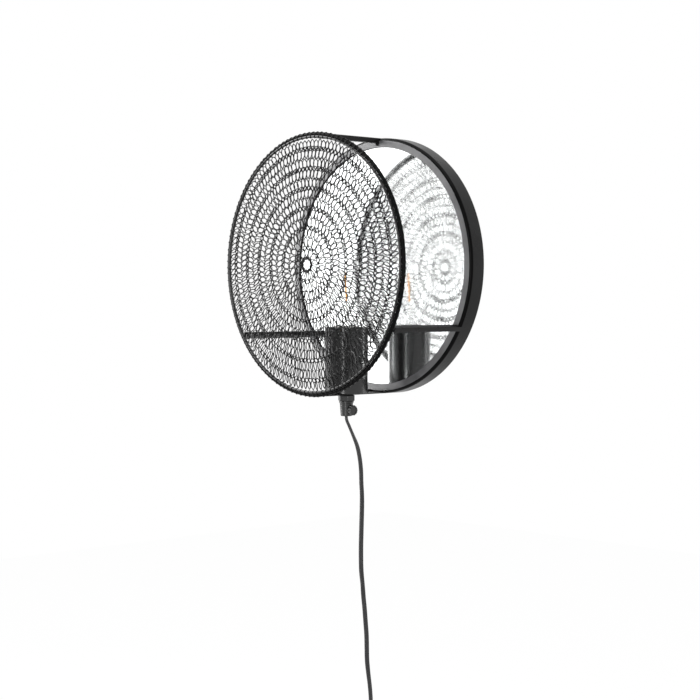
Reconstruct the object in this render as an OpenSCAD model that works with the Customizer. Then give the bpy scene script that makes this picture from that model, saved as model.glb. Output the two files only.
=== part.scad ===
// Wall lamp: a mirror in a pressed steel ring, a domed wire mesh held out in
// front of it on three struts and a flat strip, and a lampholder on the strip.
// The wall is the plane Y = 0, the front faces -Y and +Z is up. Millimetres.

/* [Rings] */
// Outer radius of the back ring and the front ring
ring_r = 150; // [130:1:180]
// Depth of the back ring, from the wall to its flange
ring_depth = 21; // [20:0.5:30]
// Sheet thickness of the back ring
ring_wall = 1.5; // [1:0.1:2]
// Radius of the rounded corner between band and flange
ring_corner = 4; // [3:0.5:5]
// Width of the flange round the mirror, with the corner
flange_w = 11; // [9:0.5:16]
// Distance from the wall to the middle of the front ring
front_out = 125; // [115:1:160]
// Thickness of the front ring's wire
front_wire_d = 4.5; // [3.5:0.1:6]
// Thickness of the wire along the edge of the mesh
rim_wire_d = 3; // [2:0.1:4]
// How far round the front ring the rim wire sits, towards the front, in degrees
rim_seat = 37; // [20:1:60]

/* [Mesh] */
// Width of the wire between two gaps of the mesh
mesh_wire = 1.4; // [1:0.1:2]
// Thickness of each row of the mesh
mesh_thick = 1; // [0.8:0.1:1.5]
// Rows of gaps from the eye to the rim
mesh_rows = 8; // [5:1:8]
// Width of a gap along its row
mesh_gap = 13.2; // [13:0.1:20]
// How far the mesh domes towards the front
mesh_rise = 5.6; // [3:0.2:9]
// Radius of the eye in the middle of the mesh
eye_r = 7; // [5:0.5:12]

/* [Struts] */
// Width and height of a strut
strut_w = 6; // [5:0.5:8]
// How far the left strut lies below the middle, in degrees
left_drop = 34; // [15:1:40]
// How far the right strut lies below the middle, in degrees
right_drop = 29; // [15:1:40]
// Radius of a weld bead
bead_r = 2.2; // [1.5:0.1:2.5]
// Width of the flat strip under the socket
strip_w = 30; // [28:1:40]
// Thickness of the flat strip
strip_t = 2; // [1.5:0.1:3]

/* [Mirror and back] */
// Space all round between the mirror's edge and the inside of the ring
mirror_gap = 2.7; // [2.2:0.1:6]
// Thickness of the mirror glass
mirror_t = 3; // [2:0.5:4]
// Thickness of the board behind the glass
backing_t = 2.5; // [2:0.5:3]
// Thickness of the back board
board_t = 3.5; // [3:0.5:4]
// Sheet thickness of clips, tabs and keyhole plates
plate_t = 1.2; // [1:0.1:1.5]
// Number of clips that hold the mirror
clip_count = 6; // [4:1:8]
// Width of a clip
clip_w = 12; // [8:1:16]
// Width of a tab that takes a back board screw
tab_w = 16; // [12:1:20]
// How far a tab reaches in from the band
tab_in = 15; // [13:1:20]
// Radius of a back board screw
board_screw_r = 2; // [1.5:0.1:2.2]
// Distance between the two keyholes
keyhole_apart = 120; // [80:1:140]
// Height of the keyholes above the middle
keyhole_up = 80; // [60:1:85]
// Radius of a keyhole's round end
keyhole_r = 4.5; // [4:0.1:5.5]
// Radius of the screw shank that a keyhole's slot takes
keyhole_slot_r = 2.3; // [2:0.1:2.6]
// Length of a keyhole's slot
keyhole_slot = 9; // [7:0.5:12]

/* [Socket] */
// Distance from the wall to the axis of the socket
socket_out = 71; // [60:1:80]
// Outside diameter of the socket cover
cover_d = 50; // [45:0.5:54]
// Height of the socket cover
cover_h = 76.7; // [75:0.1:85]
// Wall of the socket cover
cover_wall = 1.2; // [1:0.1:1.5]
// Radius of the nipple's thread
nipple_r = 5; // [4.5:0.1:5.5]
// Radius of the nipple's bore
nipple_bore_r = 3.6; // [3.4:0.1:3.8]
// Radius of the lampholder's sleeve
holder_r = 19.3; // [18.5:0.1:20]
// Wall of the lampholder's sleeve and cap
holder_wall = 1.6; // [1.4:0.1:2]
// Depth of the bulb's contact below the top of the cover
bulb_seat = 27; // [24:0.5:29]
// Pitch of the lamp thread
thread_pitch = 3.6; // [3.4:0.1:3.8]

/* [Bulb] */
// Radius of the bulb's glass
bulb_r = 30; // [27:0.5:32]
// Radius of the bulb's neck
neck_r = 12.8; // [12:0.1:13]
// Thickness of the bulb's glass
glass_t = 0.8; // [0.6:0.1:1.2]
// Height of the middle of the bulb above its contact
bulb_mid = 76; // [72:1:80]
// Length of the filament
filament_l = 34; // [28:1:38]
// Radius of the filament
filament_r = 0.9; // [0.7:0.1:1.2]
// Lean of the filament, in degrees
filament_lean = 3.5; // [0:0.1:4]

/* [Cord grip] */
// Width across the flats of the grip nut
grip_nut_w = 17.5; // [15:0.5:20]
// Height of the grip nut
grip_nut_h = 6.3; // [5:0.1:7]
// Radius of the cord grip
grip_r = 7.3; // [6.6:0.1:8.5]
// Height of the cord grip
grip_h = 17.5; // [16:0.5:20]
// Radius of the cord grip's bore
grip_bore_r = 3.2; // [3:0.1:3.6]
// Radius of the thumb screw's knob
knob_r = 6; // [5:0.1:6.5]
// Thickness of the thumb screw's knob
knob_t = 4; // [3:0.1:5]
// Radius of the thumb screw
thumb_screw_r = 1.5; // [1.3:0.1:1.8]
// Direction of the thumb screw, in degrees from +X towards the wall
grip_turn = 0; // [0:1:90]

/* [Cord] */
// Width of the flat cord
cord_w = 5.4; // [5:0.1:5.6]
// Thickness of the flat cord
cord_t = 3.3; // [3:0.1:3.4]
// Radius of one insulated core
core_r = 1.2; // [1:0.05:1.25]
// Clear space between two turns of the coil
turn_gap = 0.5; // [0.45:0.05:0.8]
// Innermost radius of the coil
coil_in = 23.4; // [22:0.1:25]

/* [Switch and plug] */
// Width of the switch
switch_w = 26; // [24:0.5:30]
// Length of the switch
switch_l = 58; // [54:1:58]
// Thickness of the switch
switch_t = 17; // [16:0.5:20]
// Wall of the switch
switch_wall = 1.8; // [1.4:0.1:2]
// Width of the rocker
rocker_w = 10.4; // [9:0.1:12]
// Length of the rocker
rocker_l = 21; // [18:0.5:22]
// Tilt of the rocker at rest, in degrees
rocker_tilt = 8; // [5:0.5:9]
// Width of the plug
plug_w = 35.2; // [34:0.2:37]
// Thickness of the plug
plug_t = 13.7; // [13:0.1:15]
// Height of the plug's body
plug_h = 34; // [32:1:40]
// Length of the plug's strain relief
relief_l = 20; // [20:1:25]
// Distance between the two pins
pin_apart = 19; // [18:0.1:19.5]
// Radius of a pin
pin_r = 2; // [1.8:0.05:2.4]
// Length of a pin outside the plug
pin_l = 19; // [17:0.5:20]

/* [Hidden] */
$fn = 96;

// Facets round what is cut to a ring's radius
fine = 360;

// Clearances
seat = 0.3;
thread_gap = 0.1;
running_gap = 0.06;

// Front ring, rim wire and mesh
front_r = ring_r - front_wire_d / 2;
rim_reach = (front_wire_d + rim_wire_d) / 2 + seat;
rim_r = front_r - rim_reach * cos(rim_seat);
rim_out = front_out + rim_reach * sin(rim_seat);
mesh_r = rim_r - rim_wire_d / 2 - seat;
row_h = (mesh_r - eye_r) / mesh_rows;
shoulder = 0.45;
hoop_w = 0.65 * mesh_wire;
strut_end = front_out - front_wire_d / 2 - seat;

// Pieces behind the flange, as distances from the wall
glass_front = ring_depth - ring_wall - seat;
backing_front = glass_front - mirror_t - seat;
clip_front = backing_front - backing_t - seat;
inner_r = ring_r - ring_wall - seat;
mirror_r = inner_r - mirror_gap;
clip_hold = 6.3;
clip_foot = mirror_gap + clip_hold;
tab_back = board_t + seat;
board_corners = [45:90:315];
tab_l = 7;
board_screw_in = 8;
board_screw_l = 9;
head_r = 4;
head_h = 2.2;
keyhole_plate_w = 20;
keyhole_plate_h = 40;
hanger_screw_up = 15;
hanger_screw_r = 1.3;
hanger_head_r = 2.6;
hanger_screw_l = 3;
hang_pocket = 7;

// Socket stack, as heights on the socket's axis
strip_top = strip_t - ring_r;
cover_bottom = strip_top + seat;
cover_top = cover_bottom + cover_h;
cover_r = cover_d / 2;
nut_bottom = cover_bottom + cover_wall + seat;
inner_nut_h = 4;
inner_nut_w = 14;
cap_above_nut = 2;
cap_bottom = nut_bottom + inner_nut_h + cap_above_nut;
cap_base_t = 2.5;
cap_neck_h = 4;
cap_neck_wall = 3;
nipple_in_cap = 5.5;
nipple_top = cap_bottom + nipple_in_cap;
nipple_in_grip = 6.4;
nipple_bottom = -ring_r - 2 * seat - grip_nut_h - nipple_in_grip;
wiring_room = 14;
core_bottom = cap_bottom + wiring_room;
core_in_cap = 4;
cap_top = core_bottom + core_in_cap;
sleeve_below = 0.5;
sleeve_top = cover_top - sleeve_below;
tip = cover_top - bulb_seat;
tongue_rise = 4.3;
core_top = tip - tongue_rise;
core_block_r = holder_r - holder_wall - seat;
lip_r = 14.3;
lip_t = 2;
shell_r = 14;
shell_base_t = 1;
groove_mid_r = 11.9;
crest_r = 1.25;
groove_r = crest_r + seat;
root_r = 12.1;
thread_count = 4;
first_thread = 6.2;
wire_hole_r = 1.6;
wire_hole_out = 7;
wire_hole_l = 10;
terminal_up = 6;
terminal_r = 1.5;
terminal_l = 6;
terminal_seat = 5;
terminal_head_r = 2.6;
terminal_head_h = 2;
lead_straight = 1.5;
lead_bend_extra = 0.1;
lead_in_core = 8;
rivet_r = 1.5;
rivet_l = 7;
tongue_w = 5;
tongue_l = 10;
tongue_t = 0.6;
tongue_short = 2;

// Bulb, from its contact upwards
cap_l = 26.5;
collar_h = 2.2;
collar_r = 13.6;
cap_wall = 0.5;
shoulder_turn = 25;
glass_bands = 24;
collar_lip = 1.2;
insulator_h = 3.6;
insulator_rim = 2;
button_h = 0.8;
button_r = 5;
button_pin_r = 1.5;
stem_foot = cap_l + 1.5;
stem_flare_h = 12;
pinch_r = 3.2;
pinch_h = 6;
stem_top = stem_foot + stem_flare_h + pinch_h;
stem_bore_r = 2;
filament_up = 56;
filament_top = filament_up + filament_l;
support_r = 0.3;
support_foot = 2;
support_aside = 2;
support_out = 5;
driver_size = [1.6, 16, 14];
driver_coil = [4, 5, 6];
driver_coil_at = [-5, 3];
driver_chip = [3, 4, 4];
driver_chip_at = [1.5, 4];

// Cord grip, below the strip
grip_top = -ring_r - seat - grip_nut_h - seat;
grip_bottom = grip_top - grip_h;
grip_lip_h = 2;
grip_lip_r = grip_r + 1.3;
grip_taper = 0.6;
grip_nut_corner = 0.9;
boss_r = 4.2;
boss_l = grip_r + 1.3;
knob_up = 7;
knob_mid = grip_bottom + knob_up;
knob_in = boss_l + seat;
knob_notches = 14;
notch_r = 0.9;
notch_out = 0.5;
screw_tip = cord_w / 2;

// Hanging stretch of the cord, chosen by hand. Its last point is the switch's top.
switch_x = 18.5;
switch_y = -49;
switch_top = -517;
mouth_gap = 1.2;
mouth = nipple_bottom - mouth_gap;
hang_route = [
    [0, -socket_out, mouth],
    [0, -socket_out, grip_bottom - 3],
    [2.5, -69, -186],
    [6, -66, -197],
    [9.5, -62.5, -210],
    [11.5, -60.5, -224],
    [12, -59, -238],
    [12, -58.5, -252],
    [12.5, -58, -266],
    [12.5, -58, -280],
    [12.5, -58.5, -295],
    [12.5, -59, -310],
    [12, -59, -325],
    [12, -59, -340],
    [12, -58.5, -355],
    [13, -57.5, -370],
    [13.5, -56.5, -385],
    [14.5, -55.5, -400],
    [15, -54.5, -415],
    [15.5, -53.5, -430],
    [16, -53.5, -445],
    [16, -53, -460],
    [17, -52, -475],
    [18, -50.5, -490],
    [18.5, -49.5, -504],
    [switch_x, switch_y, switch_top],
];

// Coil: it winds in, climbs a layer and winds out again, clockwise from the front
turns = 7.125;
coil_rings = 24;
first_turn = 45;
coil_x = 1;
coil_z = -631;
turn_pitch = cord_t + turn_gap;
layer_pitch = cord_w + turn_gap + thread_gap;
climb = 0.5;
switch_bottom = switch_top - switch_l;
coil_out = coil_in + turn_pitch * turns / 2;
steps = turns * coil_rings;
hex_mid = 1.5;
oct_mid = 1.6;
oct_side = 0.7;
tie_t = 1;
tie_w = 10;
tie_turn = 60;

// Line of the coil, by its turns from the start
function coil_turn(t) = first_turn + 360 * t;
function coil_radius(t) = coil_in + turn_pitch * abs(t - turns / 2);
function coil_climb(t) = min(1, max(0, (t - turns / 2) / climb + 0.5));
function coil_layer(t) = layer_pitch * coil_climb(t);
function coil_point(t, out, along) = [
    coil_x + (coil_radius(t) + out) * sin(coil_turn(t)),
    switch_y + coil_layer(t) + along,
    coil_z + (coil_radius(t) + out) * cos(coil_turn(t)),
];
function coil_heading(t) = [cos(coil_turn(t)), 0, -sin(coil_turn(t))];
coil_start = coil_point(0, 0, 0) - cord_w * coil_heading(0);
coil_end = coil_point(turns, 0, 0) + cord_w * coil_heading(turns);
plug_top = coil_end[2];
plug_face = plug_top - relief_l - plug_h;
pin_root_r = pin_r - 0.4;
pin_in = 8;

// Stretch from the switch to the coil, chosen by hand up to the coil's own start
lower_route = [
    [switch_x, switch_y, switch_bottom],
    [switch_x, switch_y, switch_bottom - 8],
    [switch_x + 0.5, switch_y, switch_bottom - 15],
    [switch_x + 1.5, switch_y, switch_bottom - 21],
    coil_start,
];

// Sections of the cord: [along the width, along the thickness]
oct_section = [
    [cord_w / 2, oct_side], [oct_mid, cord_t / 2],
    [-oct_mid, cord_t / 2], [-cord_w / 2, oct_side],
    [-cord_w / 2, -oct_side], [-oct_mid, -cord_t / 2],
    [oct_mid, -cord_t / 2], [cord_w / 2, -oct_side],
];
hex_section = [
    [cord_w / 2, 0], [hex_mid, cord_t / 2], [-hex_mid, cord_t / 2],
    [-cord_w / 2, 0], [-hex_mid, -cord_t / 2], [hex_mid, -cord_t / 2],
];

function unit(v) = v / norm(v);
function heading(route, i) =
    i == 0 ? unit(route[1] - route[0])
    : i == len(route) - 1 ? unit(route[i] - route[i - 1])
    : unit(unit(route[i + 1] - route[i]) + unit(route[i] - route[i - 1]));
function ring_at(middle, ahead, section) =
    let (thick = unit(cross(ahead, [0, 1, 0])), wide = cross(thick, ahead))
    [for (p = section) middle + p[0] * wide + p[1] * thick];

// Coil's rings, with a straight ring's length before and after its turns
coil_sections = concat(
    [ring_at(coil_start, coil_heading(0), hex_section)],
    [for (i = [0:steps]) ring_at(coil_point(i / coil_rings, 0, 0),
        coil_heading(i / coil_rings), hex_section)],
    [ring_at(coil_end, coil_heading(turns), hex_section)]
);
coil_gaps = [
    for (i = [1:len(coil_sections) - 2])
    for (k = [coil_rings:coil_rings:len(coil_sections) - 2 - i])
    for (p = coil_sections[i])
    for (q = coil_sections[i + k])
    norm(p - q)
];
echo(least_gap_of_the_coil = min(coil_gaps));

// Inline switch
switch_corner = 6;
switch_screw_at = [8, 20];
switch_screw_r = 1.2;
switch_screw_l = 12;
switch_head_r = 2.2;
switch_head_h = 1.8;
switch_head_sink = 0.4;
switch_post_r = 3;
switch_post_short = 0.5;
pivot_up = 4.6;
pivot_r = 1.2;
pivot_l = 1.8;
ear_t = 1.6;
ear_w = 6;
ear_below = 2.5;
rocker_horn = 1.6;
rocker_dip = 0.2;
rocker_keel = [1.8, 4];
contact_cube = 5;
contact_up = -4.4;
contact_x = 3;
contact_apart = 13;
bridge_size = [4, 20.8, 0.5];

// Plug
plug_grip_w = 14;
plug_shoulder_h = 15;
plug_chamfer = 3;
relief_top_r = 3.4;
relief_foot_r = 5.4;

// Shared placing and shapes

// Local z runs out of the wall, local y runs up
module from_wall() {
    rotate([90, 0, 0]) children();
}

module on_socket(height = 0) {
    translate([0, -socket_out, height]) children();
}

module around(angles) {
    for (a = angles)
        rotate([0, 0, a]) children();
}

module tube(outer, inner, height) {
    difference() {
        cylinder(r = outer, h = height);
        translate([0, 0, -1]) cylinder(r = inner, h = height + 2);
    }
}

module round_plate(width, length, corner) {
    for (x = [-1, 1], y = [-1, 1])
        translate([x * (width / 2 - corner), y * (length / 2 - corner)]) circle(r = corner);
    square([width, length - 2 * corner], center = true);
    square([width - 2 * corner, length], center = true);
}

module nut(width, height, bore) {
    difference() {
        cylinder(d = width / cos(30), h = height, $fn = 6);
        translate([0, 0, -1]) cylinder(r = bore, h = height + 2);
    }
}

// Rings

module ring_section() {
    translate([ring_r - ring_wall, 0])
        square([ring_wall, ring_depth - ring_corner]);
    translate([ring_r - ring_corner, ring_depth - ring_corner])
        intersection() {
            difference() {
                circle(r = ring_corner);
                circle(r = ring_corner - ring_wall);
            }
            square(ring_corner);
        }
    translate([ring_r - flange_w, ring_depth - ring_wall])
        square([flange_w - ring_corner, ring_wall]);
}

// The back ring's outside as one solid, with clearance, to cut what is welded to it
module ring_envelope() {
    rotate_extrude($fn = fine) {
        square([ring_r + seat, ring_depth - ring_corner]);
        square([ring_r - ring_corner, ring_depth + seat]);
        translate([ring_r - ring_corner, ring_depth - ring_corner])
            intersection() {
                circle(r = ring_corner + seat);
                square(ring_corner + seat);
            }
    }
}

module back_ring() {
    color("#202022") from_wall() rotate_extrude() ring_section();
}

module front_ring() {
    color("#202022") from_wall() translate([0, 0, front_out])
        rotate_extrude() translate([front_r, 0]) circle(d = front_wire_d);
}

module mesh_rim_wire() {
    color("#202022") from_wall() translate([0, 0, rim_out])
        rotate_extrude() translate([rim_r, 0]) circle(d = rim_wire_d);
}

// Mesh

function row_in(i) = eye_r + i * row_h;
function row_mid(i) = row_in(i) + row_h / 2;
function row_gaps(i) = floor(2 * PI * row_mid(i) / mesh_gap);
function row_out(i) = rim_out + mesh_rise * (1 - pow(row_mid(i) / mesh_r, 2));
function polar(r, a) = [r * cos(a), r * sin(a)];

module mesh_gap_outline(i) {
    half = 180 / row_gaps(i);
    web = mesh_wire / 2 / row_mid(i) * 180 / PI;
    wide = half - web;
    narrow = wide * shoulder;
    low = row_in(i) + mesh_wire / 2;
    high = row_in(i + 1) - mesh_wire / 2;
    polygon([
        polar(low, -narrow), polar(row_mid(i), -wide), polar(high, -narrow),
        polar(high, narrow), polar(row_mid(i), wide), polar(low, narrow),
    ]);
}

module mesh_row(i) {
    turn = i % 2 == 0 ? 0 : 180 / row_gaps(i);
    translate([0, 0, row_out(i)]) linear_extrude(mesh_thick)
        difference() {
            circle(r = row_in(i + 1));
            circle(r = row_in(i));
            around([for (k = [0:row_gaps(i) - 1]) turn + 360 * k / row_gaps(i)])
                mesh_gap_outline(i);
        }
}

// A hoop joins the two rows beside it
module mesh_hoop(i) {
    low = row_out(i);
    high = row_out(i - 1) + mesh_thick;
    translate([0, 0, low]) tube(row_in(i) + hoop_w / 2, row_in(i) - hoop_w / 2, high - low);
}

module wire_mesh() {
    color("#2b2b2d") from_wall() {
        for (i = [0:mesh_rows - 1])
            mesh_row(i);
        for (i = [1:mesh_rows - 1])
            mesh_hoop(i);
    }
}

// Struts and strip

module weld_bead(across) {
    difference() {
        translate([ring_r - strut_w - bead_r / 3, across, ring_depth + seat]) sphere(r = bead_r);
        ring_envelope();
    }
}

module strut(angle) {
    foot = ring_depth - ring_corner;
    from_wall() rotate([0, 0, angle]) {
        difference() {
            intersection() {
                translate([ring_r - strut_w, -strut_w / 2, foot])
                    cube([strut_w, strut_w, strut_end - foot]);
                cylinder(r = ring_r, h = front_out, $fn = fine);
            }
            ring_envelope();
        }
        weld_bead(0);
    }
}

module top_strut() {
    color("#202022") strut(90);
}

module left_strut() {
    color("#202022") strut(180 + left_drop);
}

module right_strut() {
    color("#202022") strut(-right_drop);
}

module socket_strip() {
    foot = ring_depth - ring_corner;
    bead_in = strip_t + bead_r / 3;
    color("#202022") difference() {
        from_wall() {
            difference() {
                intersection() {
                    translate([-strip_w / 2, -ring_r, foot])
                        cube([strip_w, strip_t, strut_end - foot]);
                    cylinder(r = ring_r, h = front_out, $fn = fine);
                }
                ring_envelope();
            }
            for (x = [-1, 1])
                difference() {
                    translate([x * (strip_w / 2 - 1), bead_in - ring_r, ring_depth + seat])
                        sphere(r = bead_r);
                    ring_envelope();
                }
        }
        on_socket(-ring_r - 1) cylinder(r = nipple_r + thread_gap, h = strip_t + 2);
    }
}

// Mirror and back

module mirror_glass() {
    color("#e8ecec") from_wall() translate([0, 0, glass_front - mirror_t])
        cylinder(r = mirror_r, h = mirror_t);
}

module mirror_backing() {
    color("#6b5a45") from_wall() translate([0, 0, backing_front - backing_t])
        cylinder(r = mirror_r, h = backing_t);
}

module mirror_clips() {
    color("#8f9092") from_wall() intersection() {
        around([for (k = [0:clip_count - 1]) 360 * (k + 0.5) / clip_count]) {
            translate([inner_r - clip_foot, -clip_w / 2, clip_front - plate_t])
                cube([clip_foot + plate_t, clip_w, plate_t]);
            translate([inner_r - 2 * plate_t, -clip_w / 2, tab_back + plate_t])
                cube([3 * plate_t, clip_w, clip_front - tab_back - plate_t]);
        }
        cylinder(r = inner_r, h = ring_depth, $fn = fine);
    }
}

module board_tabs() {
    color("#8f9092") from_wall() intersection() {
        around(board_corners)
            difference() {
                union() {
                    translate([inner_r - tab_in, -tab_w / 2, tab_back])
                        cube([tab_in + plate_t, tab_w, plate_t]);
                    translate([inner_r - 2 * plate_t, -tab_w / 2, tab_back])
                        cube([3 * plate_t, tab_w, tab_l]);
                }
                translate([inner_r - board_screw_in, 0, tab_back - 1])
                    cylinder(r = board_screw_r + thread_gap, h = plate_t + 2);
            }
        cylinder(r = inner_r, h = ring_depth, $fn = fine);
    }
}

module keyhole_places() {
    for (x = [-1, 1])
        translate([x * keyhole_apart / 2, keyhole_up, 0]) children();
}

module keyhole_outline(extra = 0) {
    circle(r = keyhole_r + extra);
    translate([0, keyhole_slot]) circle(r = keyhole_slot_r + extra);
    translate([-keyhole_slot_r - extra, 0])
        square([2 * (keyhole_slot_r + extra), keyhole_slot]);
}

module hanger_screw_places() {
    keyhole_places()
        for (y = [-1, 1])
            translate([0, keyhole_slot / 2 + y * hanger_screw_up, 0]) children();
}

module board_screw_places() {
    around(board_corners)
        translate([inner_r - board_screw_in, 0, 0]) children();
}

module countersunk_hole() {
    translate([0, 0, -0.01]) cylinder(r = board_screw_r + seat, h = board_t + 0.02);
    translate([0, 0, -0.01])
        cylinder(r1 = head_r + seat, r2 = board_screw_r + seat, h = head_h + 0.01);
}

module back_board() {
    color("#26221e") from_wall() difference() {
        cylinder(r = inner_r, h = board_t);
        board_screw_places() countersunk_hole();
        keyhole_places() {
            translate([0, keyhole_slot / 2, -1]) linear_extrude(plate_t + seat + 1)
                square([keyhole_plate_w + 2 * seat, keyhole_plate_h + 2 * seat], center = true);
            translate([-hang_pocket, -hang_pocket, -1])
                cube([2 * hang_pocket, keyhole_slot + 2 * hang_pocket, board_t + 2]);
        }
        hanger_screw_places()
            cylinder(r = hanger_screw_r + thread_gap, h = hanger_screw_l + seat);
    }
}

module keyhole_plates() {
    color("#8f9092") from_wall() keyhole_places() difference() {
        linear_extrude(plate_t) difference() {
            translate([0, keyhole_slot / 2])
                square([keyhole_plate_w, keyhole_plate_h], center = true);
            keyhole_outline();
        }
        for (y = [-1, 1])
            translate([0, keyhole_slot / 2 + y * hanger_screw_up, -0.01])
                cylinder(r1 = hanger_head_r + seat, r2 = hanger_screw_r + seat, h = plate_t + 0.02);
    }
}

module hanger_screws() {
    color("#b8b9bb") from_wall() hanger_screw_places() {
        cylinder(r1 = hanger_head_r, r2 = hanger_screw_r, h = plate_t);
        cylinder(r = hanger_screw_r, h = hanger_screw_l);
    }
}

module board_screws() {
    color("#b8b9bb") from_wall() board_screw_places() {
        cylinder(r1 = head_r, r2 = board_screw_r, h = head_h);
        cylinder(r = board_screw_r, h = board_screw_l);
    }
}

// Socket

module socket_cover() {
    color("#1a1a1b") on_socket(cover_bottom) difference() {
        cylinder(r = cover_r, h = cover_h);
        translate([0, 0, cover_wall]) cylinder(r = cover_r - cover_wall, h = cover_h);
        translate([0, 0, -1]) cylinder(r = nipple_r + thread_gap, h = cover_wall + 2);
    }
}

module threaded_nipple() {
    color("#c9a95a") on_socket(nipple_bottom)
        tube(nipple_r, nipple_bore_r, nipple_top - nipple_bottom);
}

module nipple_nut() {
    color("#c9a95a") on_socket(nut_bottom) nut(inner_nut_w, inner_nut_h, nipple_r + thread_gap);
}

module holder_cap() {
    color("#141415") on_socket(cap_bottom) {
        difference() {
            cylinder(r = holder_r, h = cap_top - cap_bottom);
            translate([0, 0, cap_base_t])
                cylinder(r = holder_r - holder_wall, h = cap_top - cap_bottom);
            translate([0, 0, -1]) cylinder(r = nipple_r + thread_gap, h = cap_base_t + 2);
        }
        tube(nipple_r + cap_neck_wall, nipple_r + thread_gap, cap_neck_h);
    }
}

module holder_core() {
    color("#d8d4c8") on_socket() difference() {
        translate([0, 0, core_bottom]) cylinder(r = core_block_r, h = core_top - core_bottom);
        for (y = [-1, 1]) {
            translate([0, y * wire_hole_out, core_bottom - 1])
                cylinder(r = wire_hole_r, h = wire_hole_l + 1);
            translate([0, y * wire_hole_out, core_bottom + terminal_up])
                rotate([-90 * y, 0, 0]) {
                    cylinder(r = terminal_r + thread_gap, h = core_block_r);
                    translate([0, 0, terminal_seat])
                        cylinder(r = terminal_head_r + seat, h = core_block_r);
                }
        }
        translate([0, 0, core_top - rivet_l - seat])
            cylinder(r = rivet_r + thread_gap, h = rivet_l + 1);
    }
}

module holder_sleeve() {
    bottom = cap_top + seat;
    color("#141415") on_socket(bottom) difference() {
        cylinder(r = holder_r, h = sleeve_top - bottom);
        translate([0, 0, -1])
            cylinder(r = holder_r - holder_wall, h = sleeve_top - bottom - lip_t + 1);
        cylinder(r = lip_r, h = sleeve_top - bottom + 1);
    }
}

module thread_rings(height, radius) {
    for (k = [0:thread_count - 1])
        translate([0, 0, height + first_thread + k * thread_pitch])
            rotate_extrude() translate([groove_mid_r, 0]) circle(r = radius);
}

module screw_shell() {
    bottom = core_top + seat;
    top = sleeve_top - lip_t - seat;
    color("#c9a95a") on_socket() difference() {
        union() {
            translate([0, 0, bottom]) cylinder(r = shell_r, h = top - bottom);
            translate([0, 0, bottom]) cylinder(r = core_block_r, h = shell_base_t);
        }
        translate([0, 0, bottom - 1]) cylinder(r = root_r + seat, h = top - bottom + 2);
        thread_rings(tip, groove_r);
    }
}

module centre_contact() {
    color("#c9a95a") on_socket() {
        translate([0, 0, core_top - rivet_l]) cylinder(r = rivet_r, h = rivet_l + tongue_t);
        translate([-tongue_w / 2, -tongue_l / 2, core_top]) cube([tongue_w, tongue_l, tongue_t]);
        translate([-tongue_w / 2, tongue_l / 2 - tongue_t, core_top])
            cube([tongue_w, tongue_t, tip - seat - core_top]);
        translate([-tongue_w / 2, tongue_short - tongue_l / 2, tip - seat - tongue_t])
            cube([tongue_w, tongue_l - tongue_short, tongue_t]);
    }
}

module terminal_screws() {
    color("#c9a95a") on_socket(core_bottom + terminal_up)
        for (y = [-1, 1])
            rotate([-90 * y, 0, 0]) {
                translate([0, 0, wire_hole_out + core_r + thread_gap])
                    cylinder(r = terminal_r, h = terminal_l);
                translate([0, 0, wire_hole_out + terminal_seat + seat])
                    cylinder(r = terminal_head_r, h = terminal_head_h);
            }
}

// One core bends out from the nipple to its terminal
module inner_lead(side) {
    near = [0, side * cord_w / 4, nipple_top + lead_straight];
    far = [0, side * wire_hole_out, core_bottom - lead_straight];
    run = far - near;
    bend_r = core_r + lead_bend_extra;
    translate([near[0], near[1], mouth]) cylinder(r = core_r, h = near[2] - mouth);
    translate(near) sphere(r = bend_r);
    translate(near) rotate([-atan2(run[1], run[2]), 0, 0]) cylinder(r = core_r, h = norm(run));
    translate(far) sphere(r = bend_r);
    translate(far) cylinder(r = core_r, h = lead_in_core);
}

module inner_leads() {
    color("#5a3a24") on_socket()
        for (side = [-1, 1])
            inner_lead(side);
}

// Bulb

module bulb_outline(inset) {
    r = bulb_r - inset;
    neck = neck_r - inset;
    foot = [r * cos(shoulder_turn), bulb_mid - r * sin(shoulder_turn)];
    drop = (foot[0] - neck) / tan(shoulder_turn);
    low = cap_l - inset;
    step = (90 + shoulder_turn) / glass_bands;
    polygon(concat(
        [[0, low], [neck, low], [neck, foot[1] - drop]],
        [for (k = [0:glass_bands])
            [r * cos(step * k - shoulder_turn), bulb_mid + r * sin(step * k - shoulder_turn)]]
    ));
}

module bulb_glass() {
    color([0.9, 0.95, 0.95, 0.3]) on_socket(tip) rotate_extrude() difference() {
        bulb_outline(0);
        bulb_outline(glass_t);
    }
}

module bulb_stem() {
    flare = neck_r - glass_t - seat;
    color([0.85, 0.9, 0.9, 0.5]) on_socket(tip + stem_foot) difference() {
        union() {
            cylinder(r1 = flare, r2 = pinch_r, h = stem_flare_h);
            translate([0, 0, stem_flare_h]) cylinder(r = pinch_r, h = pinch_h);
        }
        translate([0, 0, -0.01])
            cylinder(r1 = flare - glass_t, r2 = stem_bore_r, h = stem_flare_h - 1);
    }
}

module filament() {
    color("#e0912c") on_socket(tip + filament_up) rotate([0, -filament_lean, 0])
        cylinder(r = filament_r, h = filament_l);
}

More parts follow.
